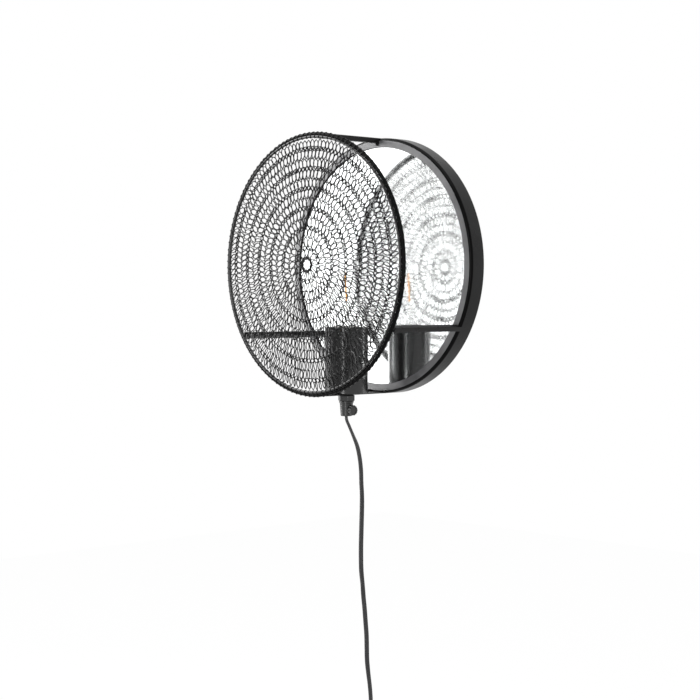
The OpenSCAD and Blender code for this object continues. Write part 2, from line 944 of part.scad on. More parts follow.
// One short wire under the filament and one long wire beside it
module filament_supports() {
    foot = stem_top + seat;
    bend = foot + support_foot;
    top = filament_top + support_r + thread_gap;
    shift = filament_l * sin(filament_lean);
    color("#9a9a98") on_socket(tip) {
        translate([0, 0, foot]) cylinder(r = support_r, h = filament_up - thread_gap - foot);
        translate([0, -support_aside, foot]) cylinder(r = support_r, h = support_foot);
        translate([0, -support_aside, bend]) {
            sphere(r = support_r);
            rotate([90, 0, 0]) cylinder(r = support_r, h = support_out);
        }
        translate([0, -support_aside - support_out, bend]) {
            sphere(r = support_r);
            cylinder(r = support_r, h = top - bend);
        }
        translate([0, -support_aside - support_out, top]) {
            sphere(r = support_r);
            rotate([-90, 0, 0]) cylinder(r = support_r, h = support_aside + support_out);
        }
        translate([-shift, 0, top]) rotate([0, 90, 0]) cylinder(r = support_r, h = shift);
    }
}

module bulb_cap() {
    bottom = insulator_h + button_h;
    color("#c8c8c4") on_socket(tip) difference() {
        union() {
            translate([0, 0, bottom]) cylinder(r = root_r, h = cap_l - collar_h - bottom);
            thread_rings(0, crest_r);
            translate([0, 0, cap_l - collar_h]) cylinder(r = collar_r, h = collar_h + collar_lip);
        }
        translate([0, 0, bottom - 1])
            cylinder(r = root_r - cap_wall, h = cap_l - bottom + 0.7);
        translate([0, 0, cap_l - seat]) cylinder(r = neck_r + seat, h = 3);
    }
}

module cap_insulator() {
    color("#18181a") on_socket(tip + button_h) difference() {
        cylinder(r1 = button_r + insulator_rim, r2 = root_r - cap_wall - seat, h = insulator_h);
        translate([0, 0, -0.01]) cylinder(r = button_pin_r + seat, h = insulator_h + 1);
    }
}

module cap_contact() {
    color("#b8b9bb") on_socket(tip) {
        cylinder(r = button_r, h = button_h - thread_gap);
        cylinder(r = button_pin_r, h = button_h + insulator_h);
    }
}

module driver_board() {
    face = driver_size[0] / 2;
    color("#2f6b46") on_socket(tip + insulator_h + button_h + seat) {
        translate([-face, -driver_size[1] / 2, 0]) cube(driver_size);
        translate([face, driver_coil_at[0], driver_coil_at[1]]) cube(driver_coil);
        translate([face, driver_chip_at[0], driver_chip_at[1]]) cube(driver_chip);
    }
}

// Cord grip

module on_thumb_screw() {
    on_socket(knob_mid) rotate([0, 0, grip_turn]) rotate([0, 90, 0]) children();
}

module grip_nut() {
    color("#1c1c1d") on_socket(-ring_r - seat - grip_nut_h)
        intersection() {
            nut(grip_nut_w, grip_nut_h, nipple_r + thread_gap);
            cylinder(r = grip_nut_w / 2 + grip_nut_corner, h = grip_nut_h);
        }
}

module cord_grip() {
    thread_l = grip_top - nipple_bottom + seat;
    color("#1c1c1d") difference() {
        union() {
            on_socket(grip_bottom)
                cylinder(r1 = grip_r - grip_taper, r2 = grip_r + grip_taper, h = grip_h);
            on_socket(grip_top - grip_lip_h) cylinder(r = grip_lip_r, h = grip_lip_h);
            on_thumb_screw() cylinder(r = boss_r, h = boss_l);
        }
        on_socket(grip_bottom - 1) cylinder(r = grip_bore_r, h = grip_h + 2);
        on_socket(grip_top - thread_l) cylinder(r = nipple_r + thread_gap, h = thread_l + 1);
        on_thumb_screw() cylinder(r = thumb_screw_r + running_gap, h = boss_l + 1);
    }
}

module thumb_screw() {
    color("#1c1c1d") on_thumb_screw() {
        translate([0, 0, screw_tip]) cylinder(r = thumb_screw_r, h = knob_in - screw_tip);
        translate([0, 0, knob_in]) difference() {
            cylinder(r = knob_r, h = knob_t);
            around([for (k = [0:knob_notches - 1]) 360 * k / knob_notches])
                translate([knob_r + notch_out, 0, -1]) cylinder(r = notch_r, h = knob_t + 2);
        }
    }
}

// Cord

// One unbroken tube through a list of rings, each with the same number of sides
module swept(rings) {
    sides = len(rings[0]);
    last = len(rings) - 1;
    polyhedron(
        points = [for (r = rings) for (p = r) p],
        faces = concat(
            [[for (k = [0:sides - 1]) k]],
            [for (i = [0:last - 1]) for (k = [0:sides - 1])
                [i * sides + k, (i + 1) * sides + k,
                 (i + 1) * sides + (k + 1) % sides, i * sides + (k + 1) % sides]],
            [[for (k = [sides - 1:-1:0]) last * sides + k]]
        )
    );
}

module cord_hang() {
    last = len(hang_route) - 1;
    color("#141415") swept([
        for (i = [0:last])
            ring_at(hang_route[i], i == 0 || i == last ? [0, 0, -1] : heading(hang_route, i),
                oct_section)
    ]);
}

module cord_lower() {
    last = len(lower_route) - 1;
    color("#141415") swept([
        for (i = [0:last])
            ring_at(lower_route[i],
                i == 0 ? [0, 0, -1] : i == last ? coil_heading(0) : heading(lower_route, i),
                oct_section)
    ]);
}

module cord_coil() {
    color("#141415") swept(coil_sections);
}

module coil_tie() {
    depth = layer_pitch + cord_w + 2 * seat;
    span = coil_out - coil_in + cord_t + 2 * seat;
    color("#0f0f10") translate([coil_x, switch_y + layer_pitch / 2, coil_z])
        rotate([0, -tie_turn, 0]) translate([-tie_w / 2, 0, (coil_in + coil_out) / 2])
            rotate([90, 0, 90]) linear_extrude(tie_w)
                difference() {
                    square([depth + 2 * tie_t, span + 2 * tie_t], center = true);
                    square([depth, span], center = true);
                }
}

// Inline switch: local x is the width, local y runs up and local z comes out of its face

module on_switch() {
    translate([switch_x, switch_y, switch_top - switch_l / 2]) rotate([90, 0, 90]) children();
}

module cord_ways() {
    cube([cord_w + 2 * seat, switch_l + 2, cord_t + 2 * seat], center = true);
}

module switch_screw_places() {
    for (s = [-1, 1])
        translate(s * [switch_screw_at[0], switch_screw_at[1], 0]) children();
}

module switch_half() {
    half = switch_t / 2 - seat / 2;
    difference() {
        linear_extrude(half) round_plate(switch_w, switch_l, switch_corner);
        translate([0, 0, -1]) linear_extrude(half - switch_wall + 1)
            round_plate(switch_w - 2 * switch_wall, switch_l - 2 * switch_wall,
                switch_corner - switch_wall);
    }
    switch_screw_places() cylinder(r = switch_post_r, h = half - switch_post_short);
}

module switch_base() {
    half = switch_t / 2;
    color("#161617") on_switch() difference() {
        translate([0, 0, -seat / 2]) mirror([0, 0, 1]) switch_half();
        cord_ways();
        switch_screw_places() translate([0, 0, -half - 1]) {
            cylinder(r = switch_screw_r + seat, h = half + 1);
            cylinder(r = switch_head_r + seat, h = 1 + switch_head_sink + switch_head_h + 0.2);
        }
    }
}

module switch_cover() {
    face = switch_t / 2 - switch_wall;
    ear_low = pivot_up - ear_below;
    color("#161617") on_switch() {
        difference() {
            translate([0, 0, seat / 2]) switch_half();
            cord_ways();
            cube([rocker_w + 2 * seat, rocker_l + 4 * seat, 2 * switch_t], center = true);
            switch_screw_places()
                cylinder(r = switch_screw_r + thread_gap, h = face - switch_post_short);
        }
        for (s = [-1, 1])
            difference() {
                translate([s * (rocker_w / 2 + seat + ear_t / 2) - ear_t / 2, -ear_w / 2, ear_low])
                    cube([ear_t, ear_w, face - ear_low]);
                translate([s * rocker_w / 2, 0, pivot_up]) rotate([0, 90 * s, 0])
                    cylinder(r = pivot_r + running_gap, h = ear_t + 2);
            }
    }
}

module switch_rocker() {
    half = rocker_l / 2;
    top = switch_t / 2 - pivot_up;
    horn = top + rocker_horn;
    color("#161617") on_switch() translate([0, 0, pivot_up]) rotate([rocker_tilt, 0, 0]) {
        rotate([0, -90, 0]) translate([0, 0, -rocker_w / 2]) linear_extrude(rocker_w)
            polygon([
                [-rocker_keel[0], -rocker_keel[1]], [-rocker_keel[0], rocker_keel[1]],
                [top - 3, half - 0.4], [horn, half - 0.9],
                [top + rocker_dip, 0], [horn, 0.9 - half], [top - 3, 0.4 - half],
            ]);
        translate([-rocker_w / 2 - pivot_l, 0, 0]) rotate([0, 90, 0])
            cylinder(r = pivot_r, h = rocker_w + 2 * pivot_l);
    }
}

module switch_contacts() {
    color("#c9a95a") on_switch() {
        for (s = [-1, 1])
            translate([contact_x, s * contact_apart - contact_cube / 2, contact_up])
                cube(contact_cube);
        translate([contact_x, -bridge_size[1] / 2, contact_up]) cube(bridge_size);
    }
}

// One core runs through and the other stops at each contact
module switch_leads() {
    stop = contact_apart + contact_cube / 2 + seat;
    color("#3d5a8c") on_switch() {
        translate([-cord_w / 4, -switch_l / 2, 0]) rotate([-90, 0, 0])
            cylinder(r = core_r, h = switch_l);
        for (s = [-1, 1])
            translate([cord_w / 4, s * switch_l / 2, 0]) rotate([90 * s, 0, 0])
                cylinder(r = core_r, h = switch_l / 2 - stop);
    }
}

module switch_screws() {
    color("#8f9092") on_switch() switch_screw_places()
        translate([0, 0, switch_head_sink - switch_t / 2]) {
            cylinder(r = switch_screw_r, h = switch_screw_l);
            cylinder(r = switch_head_r, h = switch_head_h);
        }
}

// Plug: it hangs from the end of the coil, pins down

module on_plug() {
    translate([coil_end[0], coil_end[1], plug_face]) children();
}

module plug_body() {
    half = plug_w / 2;
    grip = plug_grip_w / 2;
    color("#141415") on_plug() difference() {
        union() {
            rotate([90, 0, 90]) translate([0, 0, -plug_t / 2]) linear_extrude(plug_t)
                polygon([
                    [plug_chamfer - half, 0], [half - plug_chamfer, 0], [half, plug_chamfer],
                    [half, plug_shoulder_h], [grip, plug_h],
                    [-grip, plug_h], [-half, plug_shoulder_h], [-half, plug_chamfer],
                ]);
            translate([0, 0, plug_h])
                cylinder(r1 = relief_foot_r, r2 = relief_top_r, h = relief_l);
        }
        for (y = [-1, 1])
            translate([0, y * pin_apart / 2, -1])
                cylinder(r = pin_root_r + thread_gap, h = pin_in + 1);
    }
}

module plug_pins() {
    color("#b8b9bb") on_plug()
        for (y = [-1, 1])
            translate([0, y * pin_apart / 2, -pin_l]) {
                cylinder(r = pin_r, h = pin_l);
                cylinder(r = pin_root_r, h = pin_l + pin_in - seat);
            }
}

back_ring();
mirror_glass();
mirror_backing();
mirror_clips();
board_tabs();
back_board();
keyhole_plates();
hanger_screws();
board_screws();
front_ring();
mesh_rim_wire();
wire_mesh();
top_strut();
left_strut();
right_strut();
socket_strip();
socket_cover();
threaded_nipple();
nipple_nut();
holder_cap();
holder_core();
holder_sleeve();
screw_shell();
centre_contact();
terminal_screws();
inner_leads();
bulb_glass();
bulb_stem();
filament();
filament_supports();
bulb_cap();
cap_insulator();
cap_contact();
driver_board();
grip_nut();
cord_grip();
thumb_screw();
cord_hang();
switch_base();
switch_cover();
switch_rocker();
switch_contacts();
switch_leads();
switch_screws();
cord_lower();
cord_coil();
coil_tie();
plug_body();
plug_pins();
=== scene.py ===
import math
import random

import bmesh
import bpy
from mathutils import Matrix, Vector


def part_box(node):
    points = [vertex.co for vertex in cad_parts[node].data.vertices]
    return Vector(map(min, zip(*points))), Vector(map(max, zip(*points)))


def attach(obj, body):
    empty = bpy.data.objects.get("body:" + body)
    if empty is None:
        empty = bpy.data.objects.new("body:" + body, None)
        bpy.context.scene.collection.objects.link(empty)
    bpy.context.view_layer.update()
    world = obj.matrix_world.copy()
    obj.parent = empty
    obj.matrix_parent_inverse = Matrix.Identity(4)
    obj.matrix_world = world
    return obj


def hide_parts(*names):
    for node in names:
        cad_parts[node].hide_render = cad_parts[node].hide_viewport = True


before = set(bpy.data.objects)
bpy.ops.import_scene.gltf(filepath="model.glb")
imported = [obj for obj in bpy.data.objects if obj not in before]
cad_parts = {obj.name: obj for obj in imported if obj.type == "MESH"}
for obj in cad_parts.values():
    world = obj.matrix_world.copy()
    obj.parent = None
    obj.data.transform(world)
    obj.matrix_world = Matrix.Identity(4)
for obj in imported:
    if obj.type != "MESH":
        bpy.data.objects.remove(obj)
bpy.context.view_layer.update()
random.seed(7)

MM = 0.001

# Camera, fitted to both rings and the socket cover in the photograph
CAMERA_TURN = math.radians(46.8)
CAMERA_RISE = math.radians(1.8)
CAMERA_AWAY = 1980 * MM
CAMERA_SIDE = -47.6 * MM
CAMERA_UP = -99.4 * MM
PICTURE_W = 700
FOCAL_PIXELS = 1666
SENSOR_W = 36

# Rings
RING_R = 150 * MM
RING_DEPTH = 21 * MM
RING_WALL = 1.5 * MM
RING_CORNER = 4 * MM
FLANGE_W = 11 * MM
FRONT_OUT = 125 * MM
FRONT_WIRE_R = 2.25 * MM
FRONT_R = RING_R - FRONT_WIRE_R
RIM_WIRE_R = 1.5 * MM
RIM_SEAT = math.radians(37)
SEAT = 0.3 * MM
RIM_REACH = FRONT_WIRE_R + RIM_WIRE_R
RIM_R = FRONT_R - RIM_REACH * math.cos(RIM_SEAT)
RIM_OUT = FRONT_OUT + RIM_REACH * math.sin(RIM_SEAT)
RING_SIDES = 192

# Knitted mesh
STITCH_WIRE_R = 0.63 * MM
HOOP_WIRE_R = 0.34 * MM
BINDING_WIRE_R = 0.36 * MM
BINDING_TURNS = 126
BINDING_SAMPLES = 12
EYE_R = 8 * MM
EYE_STEP = 0.9 * MM
MESH_R = 142.6 * MM
MESH_BANDS = 6
MESH_RISE = 4.9 * MM
MESH_GAP = 0.2 * MM
STITCH_PITCH = 6.2 * MM
MIDDLE_PITCH = 7.2 * MM
MIDDLE_R = 35 * MM
STITCH_LEAN = 3.4 * MM
STITCH_HOOK = 2.4 * MM
STITCH_OVER = 0.9 * MM
STITCH_LIFT = 0.55 * MM
STITCH_SAMPLES = 16
WAVE_SAMPLES = 4
# How pointed the tip of each loop is, from 0 for round to 1
POINTED = 0.8

# Mirror
MIRROR_R = 145.5 * MM
MIRROR_T = 3 * MM
MIRROR_FRONT = RING_DEPTH - RING_WALL - SEAT

# Struts and strip
STRUT_W = 6 * MM
STRUT_ANGLES = {"top_strut": 90, "left_strut": 214, "right_strut": -29}
STRIP_W = 30 * MM
STRIP_T = 2 * MM
BAR_END = FRONT_OUT - FRONT_WIRE_R - SEAT

# Socket axis and the heights on it
SOCKET_OUT = 71 * MM
COVER_R = 25 * MM
COVER_WALL = 1.2 * MM
COVER_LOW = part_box("socket_cover")[0].z
COVER_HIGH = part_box("socket_cover")[1].z
BULB_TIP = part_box("cap_contact")[0].z

# Cord
CORD_W = 5.4 * MM
CORD_LOBE_R = 1.65 * MM
CORD_LOBE_OUT = CORD_W / 2 - CORD_LOBE_R
GRIP_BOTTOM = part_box("cord_grip")[0].z
GRIP_R = 7.3 * MM
NUT_W = 17.5 * MM
BOSS_R = 4.2 * MM
BOSS_IN = 5.4 * MM
BOSS_OUT = GRIP_R + 1.3 * MM
KNOB_R = 6 * MM
KNOB_T = 4 * MM
KNOB_UP = 7 * MM
KNOB_GROOVES = 14
SCREW_R = 1.5 * MM
SCREW_AXIS = Vector((0, -SOCKET_OUT, GRIP_BOTTOM + KNOB_UP))
SIDEWAYS = Vector((1, 0, 0))
SWITCH_X = 18.5 * MM
SWITCH_Y = -49 * MM
SWITCH_TOP = -517 * MM
SWITCH_BOTTOM = -575 * MM
SWITCH_W = 26 * MM
SWITCH_T = 17 * MM
SWITCH_SEAM = 0.15 * MM
SWITCH_CORNER = 6 * MM
CORD_WAY = (3.9 * MM, 6 * MM)
WINDOW = (12 * MM, 11 * MM, 22.2 * MM)
ROCKER_L = 21 * MM
ROCKER_W = 10.4 * MM
ROCKER_PIVOT = 4.6 * MM
ROCKER_REST = math.radians(8)
TIE_W = 10 * MM
TIE_SPAN = 19.2 * MM
TIE_TURN = math.radians(60)
PLUG_BODY_H = 34 * MM
PIN_SPACING = 19 * MM
# The cord's way from the grip to its coil, in metres
CORD_ROUTE = [
    (0, -0.071, -0.1645),
    (0, -0.071, -0.1774),
    (0.0025, -0.069, -0.186),
    (0.006, -0.066, -0.197),
    (0.0095, -0.0625, -0.210),
    (0.0115, -0.0605, -0.224),
    (0.012, -0.059, -0.238),
    (0.012, -0.0585, -0.252),
    (0.0125, -0.058, -0.266),
    (0.0125, -0.058, -0.280),
    (0.0125, -0.0585, -0.295),
    (0.0125, -0.059, -0.310),
    (0.012, -0.059, -0.325),
    (0.012, -0.059, -0.340),
    (0.012, -0.0585, -0.355),
    (0.013, -0.0575, -0.370),
    (0.0135, -0.0565, -0.385),
    (0.0145, -0.0555, -0.400),
    (0.015, -0.0545, -0.415),
    (0.0155, -0.0535, -0.430),
    (0.016, -0.0535, -0.445),
    (0.016, -0.053, -0.460),
    (0.017, -0.052, -0.475),
    (0.018, -0.0505, -0.490),
    (0.0185, -0.0495, -0.504),
    (0.0185, -0.049, -0.517),
    (0.0185, -0.049, -0.536),
    (0.0185, -0.049, -0.556),
    (0.0185, -0.049, -0.575),
    (0.0185, -0.049, -0.583),
    (0.019, -0.049, -0.590),
    (0.020, -0.049, -0.596),
]
# Turn of the flat cord about its own line, in degrees, at heights along the free stretch
CORD_TWIST = [(-0.1645, 37), (-0.193, 35), (-0.214, 0), (-0.255, -8), (-0.290, -38),
              (-0.350, -43), (-0.369, -12), (-0.388, -43), (-0.455, -40), (-0.485, 0),
              (-0.517, 0)]
COIL_X = 1 * MM
COIL_Z = -631 * MM
COIL_IN = 23.4 * MM
COIL_TURNS = 7.125
COIL_FIRST = math.radians(45)
COIL_PITCH = 3.8 * MM
COIL_LAYER = 6 * MM
COIL_CLIMB = 0.5
COIL_STEPS = 40

# Floor and sky
FLOOR_W = 9
FLOOR_PLACE = (0.3, -0.4, -1.05)
FLOOR_GLOW = 1.03
FLOOR_GLOW_SHARE = 0.93
SKY_STRENGTH = 0.4

# Meshes with fewer faces than this get weighted normals
FINE_FACES = 20000


# Hand tools

def deselect():
    bpy.ops.object.select_all(action="DESELECT")


def activate(piece):
    deselect()
    piece.select_set(True)
    bpy.context.view_layer.objects.active = piece


def added(name):
    """The primitive that was just added, under its own name."""
    piece = bpy.context.object
    piece.name = name
    piece.data.name = name
    activate(piece)
    bpy.ops.object.transform_apply(location=True, rotation=True, scale=True)
    return piece


def edit(piece):
    activate(piece)
    bpy.ops.object.mode_set(mode="EDIT")
    bpy.ops.mesh.select_all(action="DESELECT")


def done():
    bpy.ops.object.mode_set(mode="OBJECT")


def pick_faces(piece, wanted):
    bpy.ops.mesh.select_mode(type="FACE")
    bpy.ops.mesh.select_all(action="DESELECT")
    mesh = bmesh.from_edit_mesh(piece.data)
    for face in mesh.faces:
        if wanted(face.calc_center_median(), face.normal):
            face.select_set(True)
    bmesh.update_edit_mesh(piece.data)


def pick_edges(piece, wanted):
    bpy.ops.mesh.select_mode(type="EDGE")
    bpy.ops.mesh.select_all(action="DESELECT")
    mesh = bmesh.from_edit_mesh(piece.data)
    for edge in mesh.edges:
        if wanted(edge.verts[0].co, edge.verts[1].co):
            edge.select_set(True)
    bmesh.update_edit_mesh(piece.data)


def pick_points(piece, wanted):
    bpy.ops.mesh.select_mode(type="VERT")
    bpy.ops.mesh.select_all(action="DESELECT")
    mesh = bmesh.from_edit_mesh(piece.data)
    for point in mesh.verts:
        if wanted(point.co):
            point.select_set(True)
    bmesh.update_edit_mesh(piece.data)


def face_outwards():
    bpy.ops.mesh.select_all(action="SELECT")
    bpy.ops.mesh.remove_doubles(threshold=0.002 * MM)
    bpy.ops.mesh.normals_make_consistent(inside=False)


def apply_modifier(piece, modifier):
    activate(piece)
    bpy.ops.object.modifier_apply(modifier=modifier.name)


def round_edges(piece, width, segments, angle):
    """Rounds the edges that turn by more than an angle in degrees."""
    bevel = piece.modifiers.new("round", "BEVEL")
    bevel.width = width
    bevel.segments = segments
    bevel.limit_method = "ANGLE"
    bevel.angle_limit = math.radians(angle)
    apply_modifier(piece, bevel)


def give_wall(piece, thickness):
    """Gives a shell its wall, on the inner side of its faces."""
    wall = piece.modifiers.new("wall", "SOLIDIFY")
    wall.thickness = thickness
    wall.offset = -1
    wall.use_even_offset = True
    apply_modifier(piece, wall)


def smooth(piece, angle):
    """Smooth shading in which the large flat faces stay flat."""
    activate(piece)
    bpy.ops.object.shade_smooth_by_angle(angle=math.radians(angle))
    if len(piece.data.polygons) < FINE_FACES:
        weighted = piece.modifiers.new("flat faces", "WEIGHTED_NORMAL")
        weighted.keep_sharp = True
        apply_modifier(piece, weighted)


def join(name, pieces):
    """Joins pieces into the first one."""
    deselect()
    for piece in pieces:
        piece.select_set(True)
    bpy.context.view_layer.objects.active = pieces[0]
    bpy.ops.object.join()
    pieces[0].name = name
    pieces[0].data.name = name
    return pieces[0]


def fuse(piece, tool, operation="UNION"):
    """Boolean of a piece with a tool, which is used up."""
    cut = piece.modifiers.new("cut", "BOOLEAN")
    cut.object = tool
    cut.operation = operation
    cut.solver = "EXACT"
    apply_modifier(piece, cut)
    bpy.data.objects.remove(tool)


def drawn(name, points, edges, faces=()):
    """A mesh object from drawn points, edges and faces."""
    mesh = bpy.data.meshes.new(name)
    mesh.from_pydata(points, edges, faces)
    piece = bpy.data.objects.new(name, mesh)
    bpy.context.scene.collection.objects.link(piece)
    return piece


def extruded(name, points, along):
    """A solid from a flat outline, drawn and then extruded."""
    piece = drawn(name, points, [], [tuple(range(len(points)))])
    edit(piece)
    bpy.ops.mesh.select_all(action="SELECT")
    bpy.ops.mesh.extrude_region_move(TRANSFORM_OT_translate={"value": along})
    face_outwards()
    done()
    return piece


def turned(name, outline, steps, centre=(0, -SOCKET_OUT, 0), closed=False):
    """Spins an outline of (radius, height) points about an upright axis."""
    middle = Vector(centre)
    points = [middle + Vector((r, 0, h)) for r, h in outline]
    edges = [(i, i + 1) for i in range(len(points) - 1)]
    if closed:
        edges.append((len(points) - 1, 0))
    piece = drawn(name, points, edges)
    edit(piece)
    bpy.ops.mesh.select_all(action="SELECT")
    bpy.ops.mesh.spin(steps=steps, angle=math.tau, center=middle, axis=(0, 0, 1))
    face_outwards()
    done()
    return piece


def arc(centre, radius, first, last, count):
    """Points on an arc in a plane, with its angles in degrees."""
    return [
        (centre[0] + radius * math.cos(math.radians(first + (last - first) * k / count)),
         centre[1] + radius * math.sin(math.radians(first + (last - first) * k / count)))
        for k in range(count + 1)
    ]


def wires(name, runs, radius, roundness):
    """Closed wires along runs of points. Roundness 0 gives them 4 sides, and 1 gives 6."""
    data = bpy.data.curves.new(name, "CURVE")
    data.dimensions = "3D"
    data.bevel_depth = radius
    data.bevel_resolution = roundness
    for run in runs:
        spline = data.splines.new("POLY")
        spline.points.add(len(run) - 1)
        for point, place in zip(spline.points, run):
            point.co = (*place, 1)
        spline.use_cyclic_u = True
    piece = bpy.data.objects.new(name, data)
    bpy.context.scene.collection.objects.link(piece)
    activate(piece)
    bpy.ops.object.convert(target="MESH")
    piece = bpy.context.object
    piece.data.name = name
    return piece


def finish_piece(piece, finish, body, nodes, angle=35):
    """Gives a piece its finish, its body and the nodes that it stands for."""
    smooth(piece, angle)
    if finish is not None:
        piece.data.materials.clear()
        piece.data.materials.append(finish)
    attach(piece, body)
    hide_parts(*nodes)


# Materials

def new_finish(name, colour, roughness, metallic=0.0, gloss=0.5):
    finish = bpy.data.materials.new(name)
    finish.use_nodes = True
    shader = finish.node_tree.nodes["Principled BSDF"]
    shader.inputs["Specular IOR Level"].default_value = gloss
    shader.inputs["Base Color"].default_value = (*colour, 1)
    shader.inputs["Roughness"].default_value = roughness
    shader.inputs["Metallic"].default_value = metallic
    return finish, shader


def pattern(finish, kind, scale, **settings):
    """A texture on object coordinates. settings are its sockets by name."""
    nodes = finish.node_tree.nodes
    links = finish.node_tree.links
    place = nodes.new("ShaderNodeTexCoord")
    texture = nodes.new(kind)
    links.new(place.outputs["Object"], texture.inputs["Vector"])
    texture.inputs["Scale"].default_value = scale
    for socket, value in settings.items():
        texture.inputs[socket].default_value = value
    return texture


def stretched(finish, texture, stretch):
    """Stretches a texture's pattern along the axes."""
    nodes = finish.node_tree.nodes
    links = finish.node_tree.links
    mapping = nodes.new("ShaderNodeMapping")
    mapping.inputs["Scale"].default_value = stretch
    source = texture.inputs["Vector"].links[0].from_socket
    links.new(source, mapping.inputs["Vector"])
    links.new(mapping.outputs["Vector"], texture.inputs["Vector"])


def shades(finish, output, stops, socket):
    """Colours of a pattern by stops of (position, colour), into a shader's socket."""
    ramp = finish.node_tree.nodes.new("ShaderNodeValToRGB")
    points = ramp.color_ramp.elements
    while len(points) < len(stops):
        points.new(0.5)
    for point, (position, colour) in zip(points, stops):
        point.position = position
        point.color = (*colour, 1)
    finish.node_tree.links.new(output, ramp.inputs["Fac"])
    finish.node_tree.links.new(ramp.outputs["Color"], socket)


def spread(finish, output, low, high, socket, start, end):
    """Maps a pattern's values from start to end onto values from low to high."""
    node = finish.node_tree.nodes.new("ShaderNodeMapRange")
    node.inputs["From Min"].default_value = start
    node.inputs["From Max"].default_value = end
    node.inputs["To Min"].default_value = low
    node.inputs["To Max"].default_value = high
    finish.node_tree.links.new(output, node.inputs["Value"])
    finish.node_tree.links.new(node.outputs["Result"], socket)


def relief(finish, shader, output, depth, strength):
    bump = finish.node_tree.nodes.new("ShaderNodeBump")
    bump.inputs["Distance"].default_value = depth
    bump.inputs["Strength"].default_value = strength
    finish.node_tree.links.new(output, bump.inputs["Height"])
    finish.node_tree.links.new(bump.outputs["Normal"], shader.inputs["Normal"])


def maths(tree, operation, *values):
    """A maths node. Each of its values is a number or another node's output."""
    node = tree.nodes.new("ShaderNodeMath")
    node.operation = operation
    for socket, value in zip(node.inputs, values):
        if isinstance(value, float):
            socket.default_value = value
        else:
            tree.links.new(value, socket)
    return node.outputs["Value"]


def grey(value):
    """A grey with a trace of blue."""
    return (value, value, value * 1.04)


def coated_steel(name, roughness=0.3, shade=0.004, gloss=0.2):
    """Black powder coat: a fine orange peel and faint rubbed patches."""
    finish, shader = new_finish(name, grey(shade), roughness, 0.0, gloss)
    patches = pattern(finish, "ShaderNodeTexNoise", 38, Detail=4, Roughness=0.6)
    shades(finish, patches.outputs["Fac"],
           [(0.35, grey(shade * 0.8)), (0.7, grey(shade * 1.5))], shader.inputs["Base Color"])
    spread(finish, patches.outputs["Fac"], roughness - 0.06, roughness + 0.1,
           shader.inputs["Roughness"], 0.3, 0.7)
    peel = pattern(finish, "ShaderNodeTexNoise", 1500, Detail=2)
    relief(finish, shader, peel.outputs["Fac"], 0.03 * MM, 0.35)
    return finish


def coated_wire(name, gloss=0.16, roughness=0.26):
    finish, shader = new_finish(name, grey(0.003), roughness, 0.0, gloss)
    patches = pattern(finish, "ShaderNodeTexNoise", 120, Detail=3)
    shades(finish, patches.outputs["Fac"],
           [(0.3, grey(0.002)), (0.75, grey(0.007))], shader.inputs["Base Color"])
    spread(finish, patches.outputs["Fac"], roughness - 0.08, roughness + 0.08,
           shader.inputs["Roughness"], 0.3, 0.7)
    relief(finish, shader, patches.outputs["Fac"], 0.05 * MM, 0.4)
    return finish


def aged_mirror(name):
    """Silvering with a faint haze, fine specks and a darker bloom here and there."""
    finish, shader = new_finish(name, (0.9, 0.92, 0.92), 0.07, 1.0)
    specks = pattern(finish, "ShaderNodeTexNoise", 420, Detail=6, Roughness=0.75)
    bloom = pattern(finish, "ShaderNodeTexNoise", 26, Detail=5, Roughness=0.65)
    both = maths(finish.node_tree, "MULTIPLY", specks.outputs["Fac"], bloom.outputs["Fac"])
    shades(finish, both,
           [(0.0, (0.93, 0.945, 0.945)), (0.36, (0.92, 0.935, 0.935)),
            (0.43, (0.62, 0.62, 0.61)), (0.5, (0.2, 0.19, 0.18))], shader.inputs["Base Color"])
    spread(finish, both, 0.06, 0.16, shader.inputs["Roughness"], 0.2, 0.5)
    return finish


def clear_glass(name):
    finish, shader = new_finish(name, (1, 1, 1), 0.0)
    shader.inputs["Transmission Weight"].default_value = 1.0
    shader.inputs["IOR"].default_value = 1.45
    waves = pattern(finish, "ShaderNodeTexNoise", 30, Detail=1)
    relief(finish, shader, waves.outputs["Fac"], 0.05 * MM, 0.08)
    return finish


def amber_with_painted_glow(name):
    """Rows of small chips under an amber coating, with a faint painted glow though the bulb is not
    lit.
    """
    finish, shader = new_finish(name, (0.95, 0.4, 0.05), 0.45)
    chips = pattern(finish, "ShaderNodeTexWave", 260)
    chips.bands_direction = "Z"
    shades(finish, chips.outputs["Fac"],
           [(0.0, (0.8, 0.27, 0.02)), (1.0, (1.0, 0.5, 0.08))], shader.inputs["Base Color"])
    # Painted glow: the filament is not lit, and this emission stands in for light.
    shader.inputs["Emission Color"].default_value = (1.0, 0.45, 0.04, 1)
    shader.inputs["Emission Strength"].default_value = 0.35
    return finish


def metal(name, colour, roughness, streak=(1, 1, 1), scale=300):
    finish, shader = new_finish(name, colour, roughness, 1.0)
    marks = pattern(finish, "ShaderNodeTexNoise", scale, Detail=5, Roughness=0.6)
    stretched(finish, marks, streak)
    dark = tuple(0.82 * c for c in colour)
    shades(finish, marks.outputs["Fac"], [(0.3, dark), (0.7, colour)],
           shader.inputs["Base Color"])
    spread(finish, marks.outputs["Fac"], roughness - 0.08, roughness + 0.12,
           shader.inputs["Roughness"], 0.3, 0.7)
    relief(finish, shader, marks.outputs["Fac"], 0.02 * MM, 0.3)
    return finish


def plastic(name, colour, roughness, grain=900, depth=0.03):
    finish, shader = new_finish(name, colour, roughness)
    texture = pattern(finish, "ShaderNodeTexNoise", grain, Detail=3)
    bright = tuple(min(1, 1.35 * c + 0.002) for c in colour)
    shades(finish, texture.outputs["Fac"], [(0.35, colour), (0.75, bright)],
           shader.inputs["Base Color"])
    spread(finish, texture.outputs["Fac"], roughness - 0.05, roughness + 0.08,
           shader.inputs["Roughness"], 0.3, 0.7)
    relief(finish, shader, texture.outputs["Fac"], depth * MM, 0.4)
    return finish


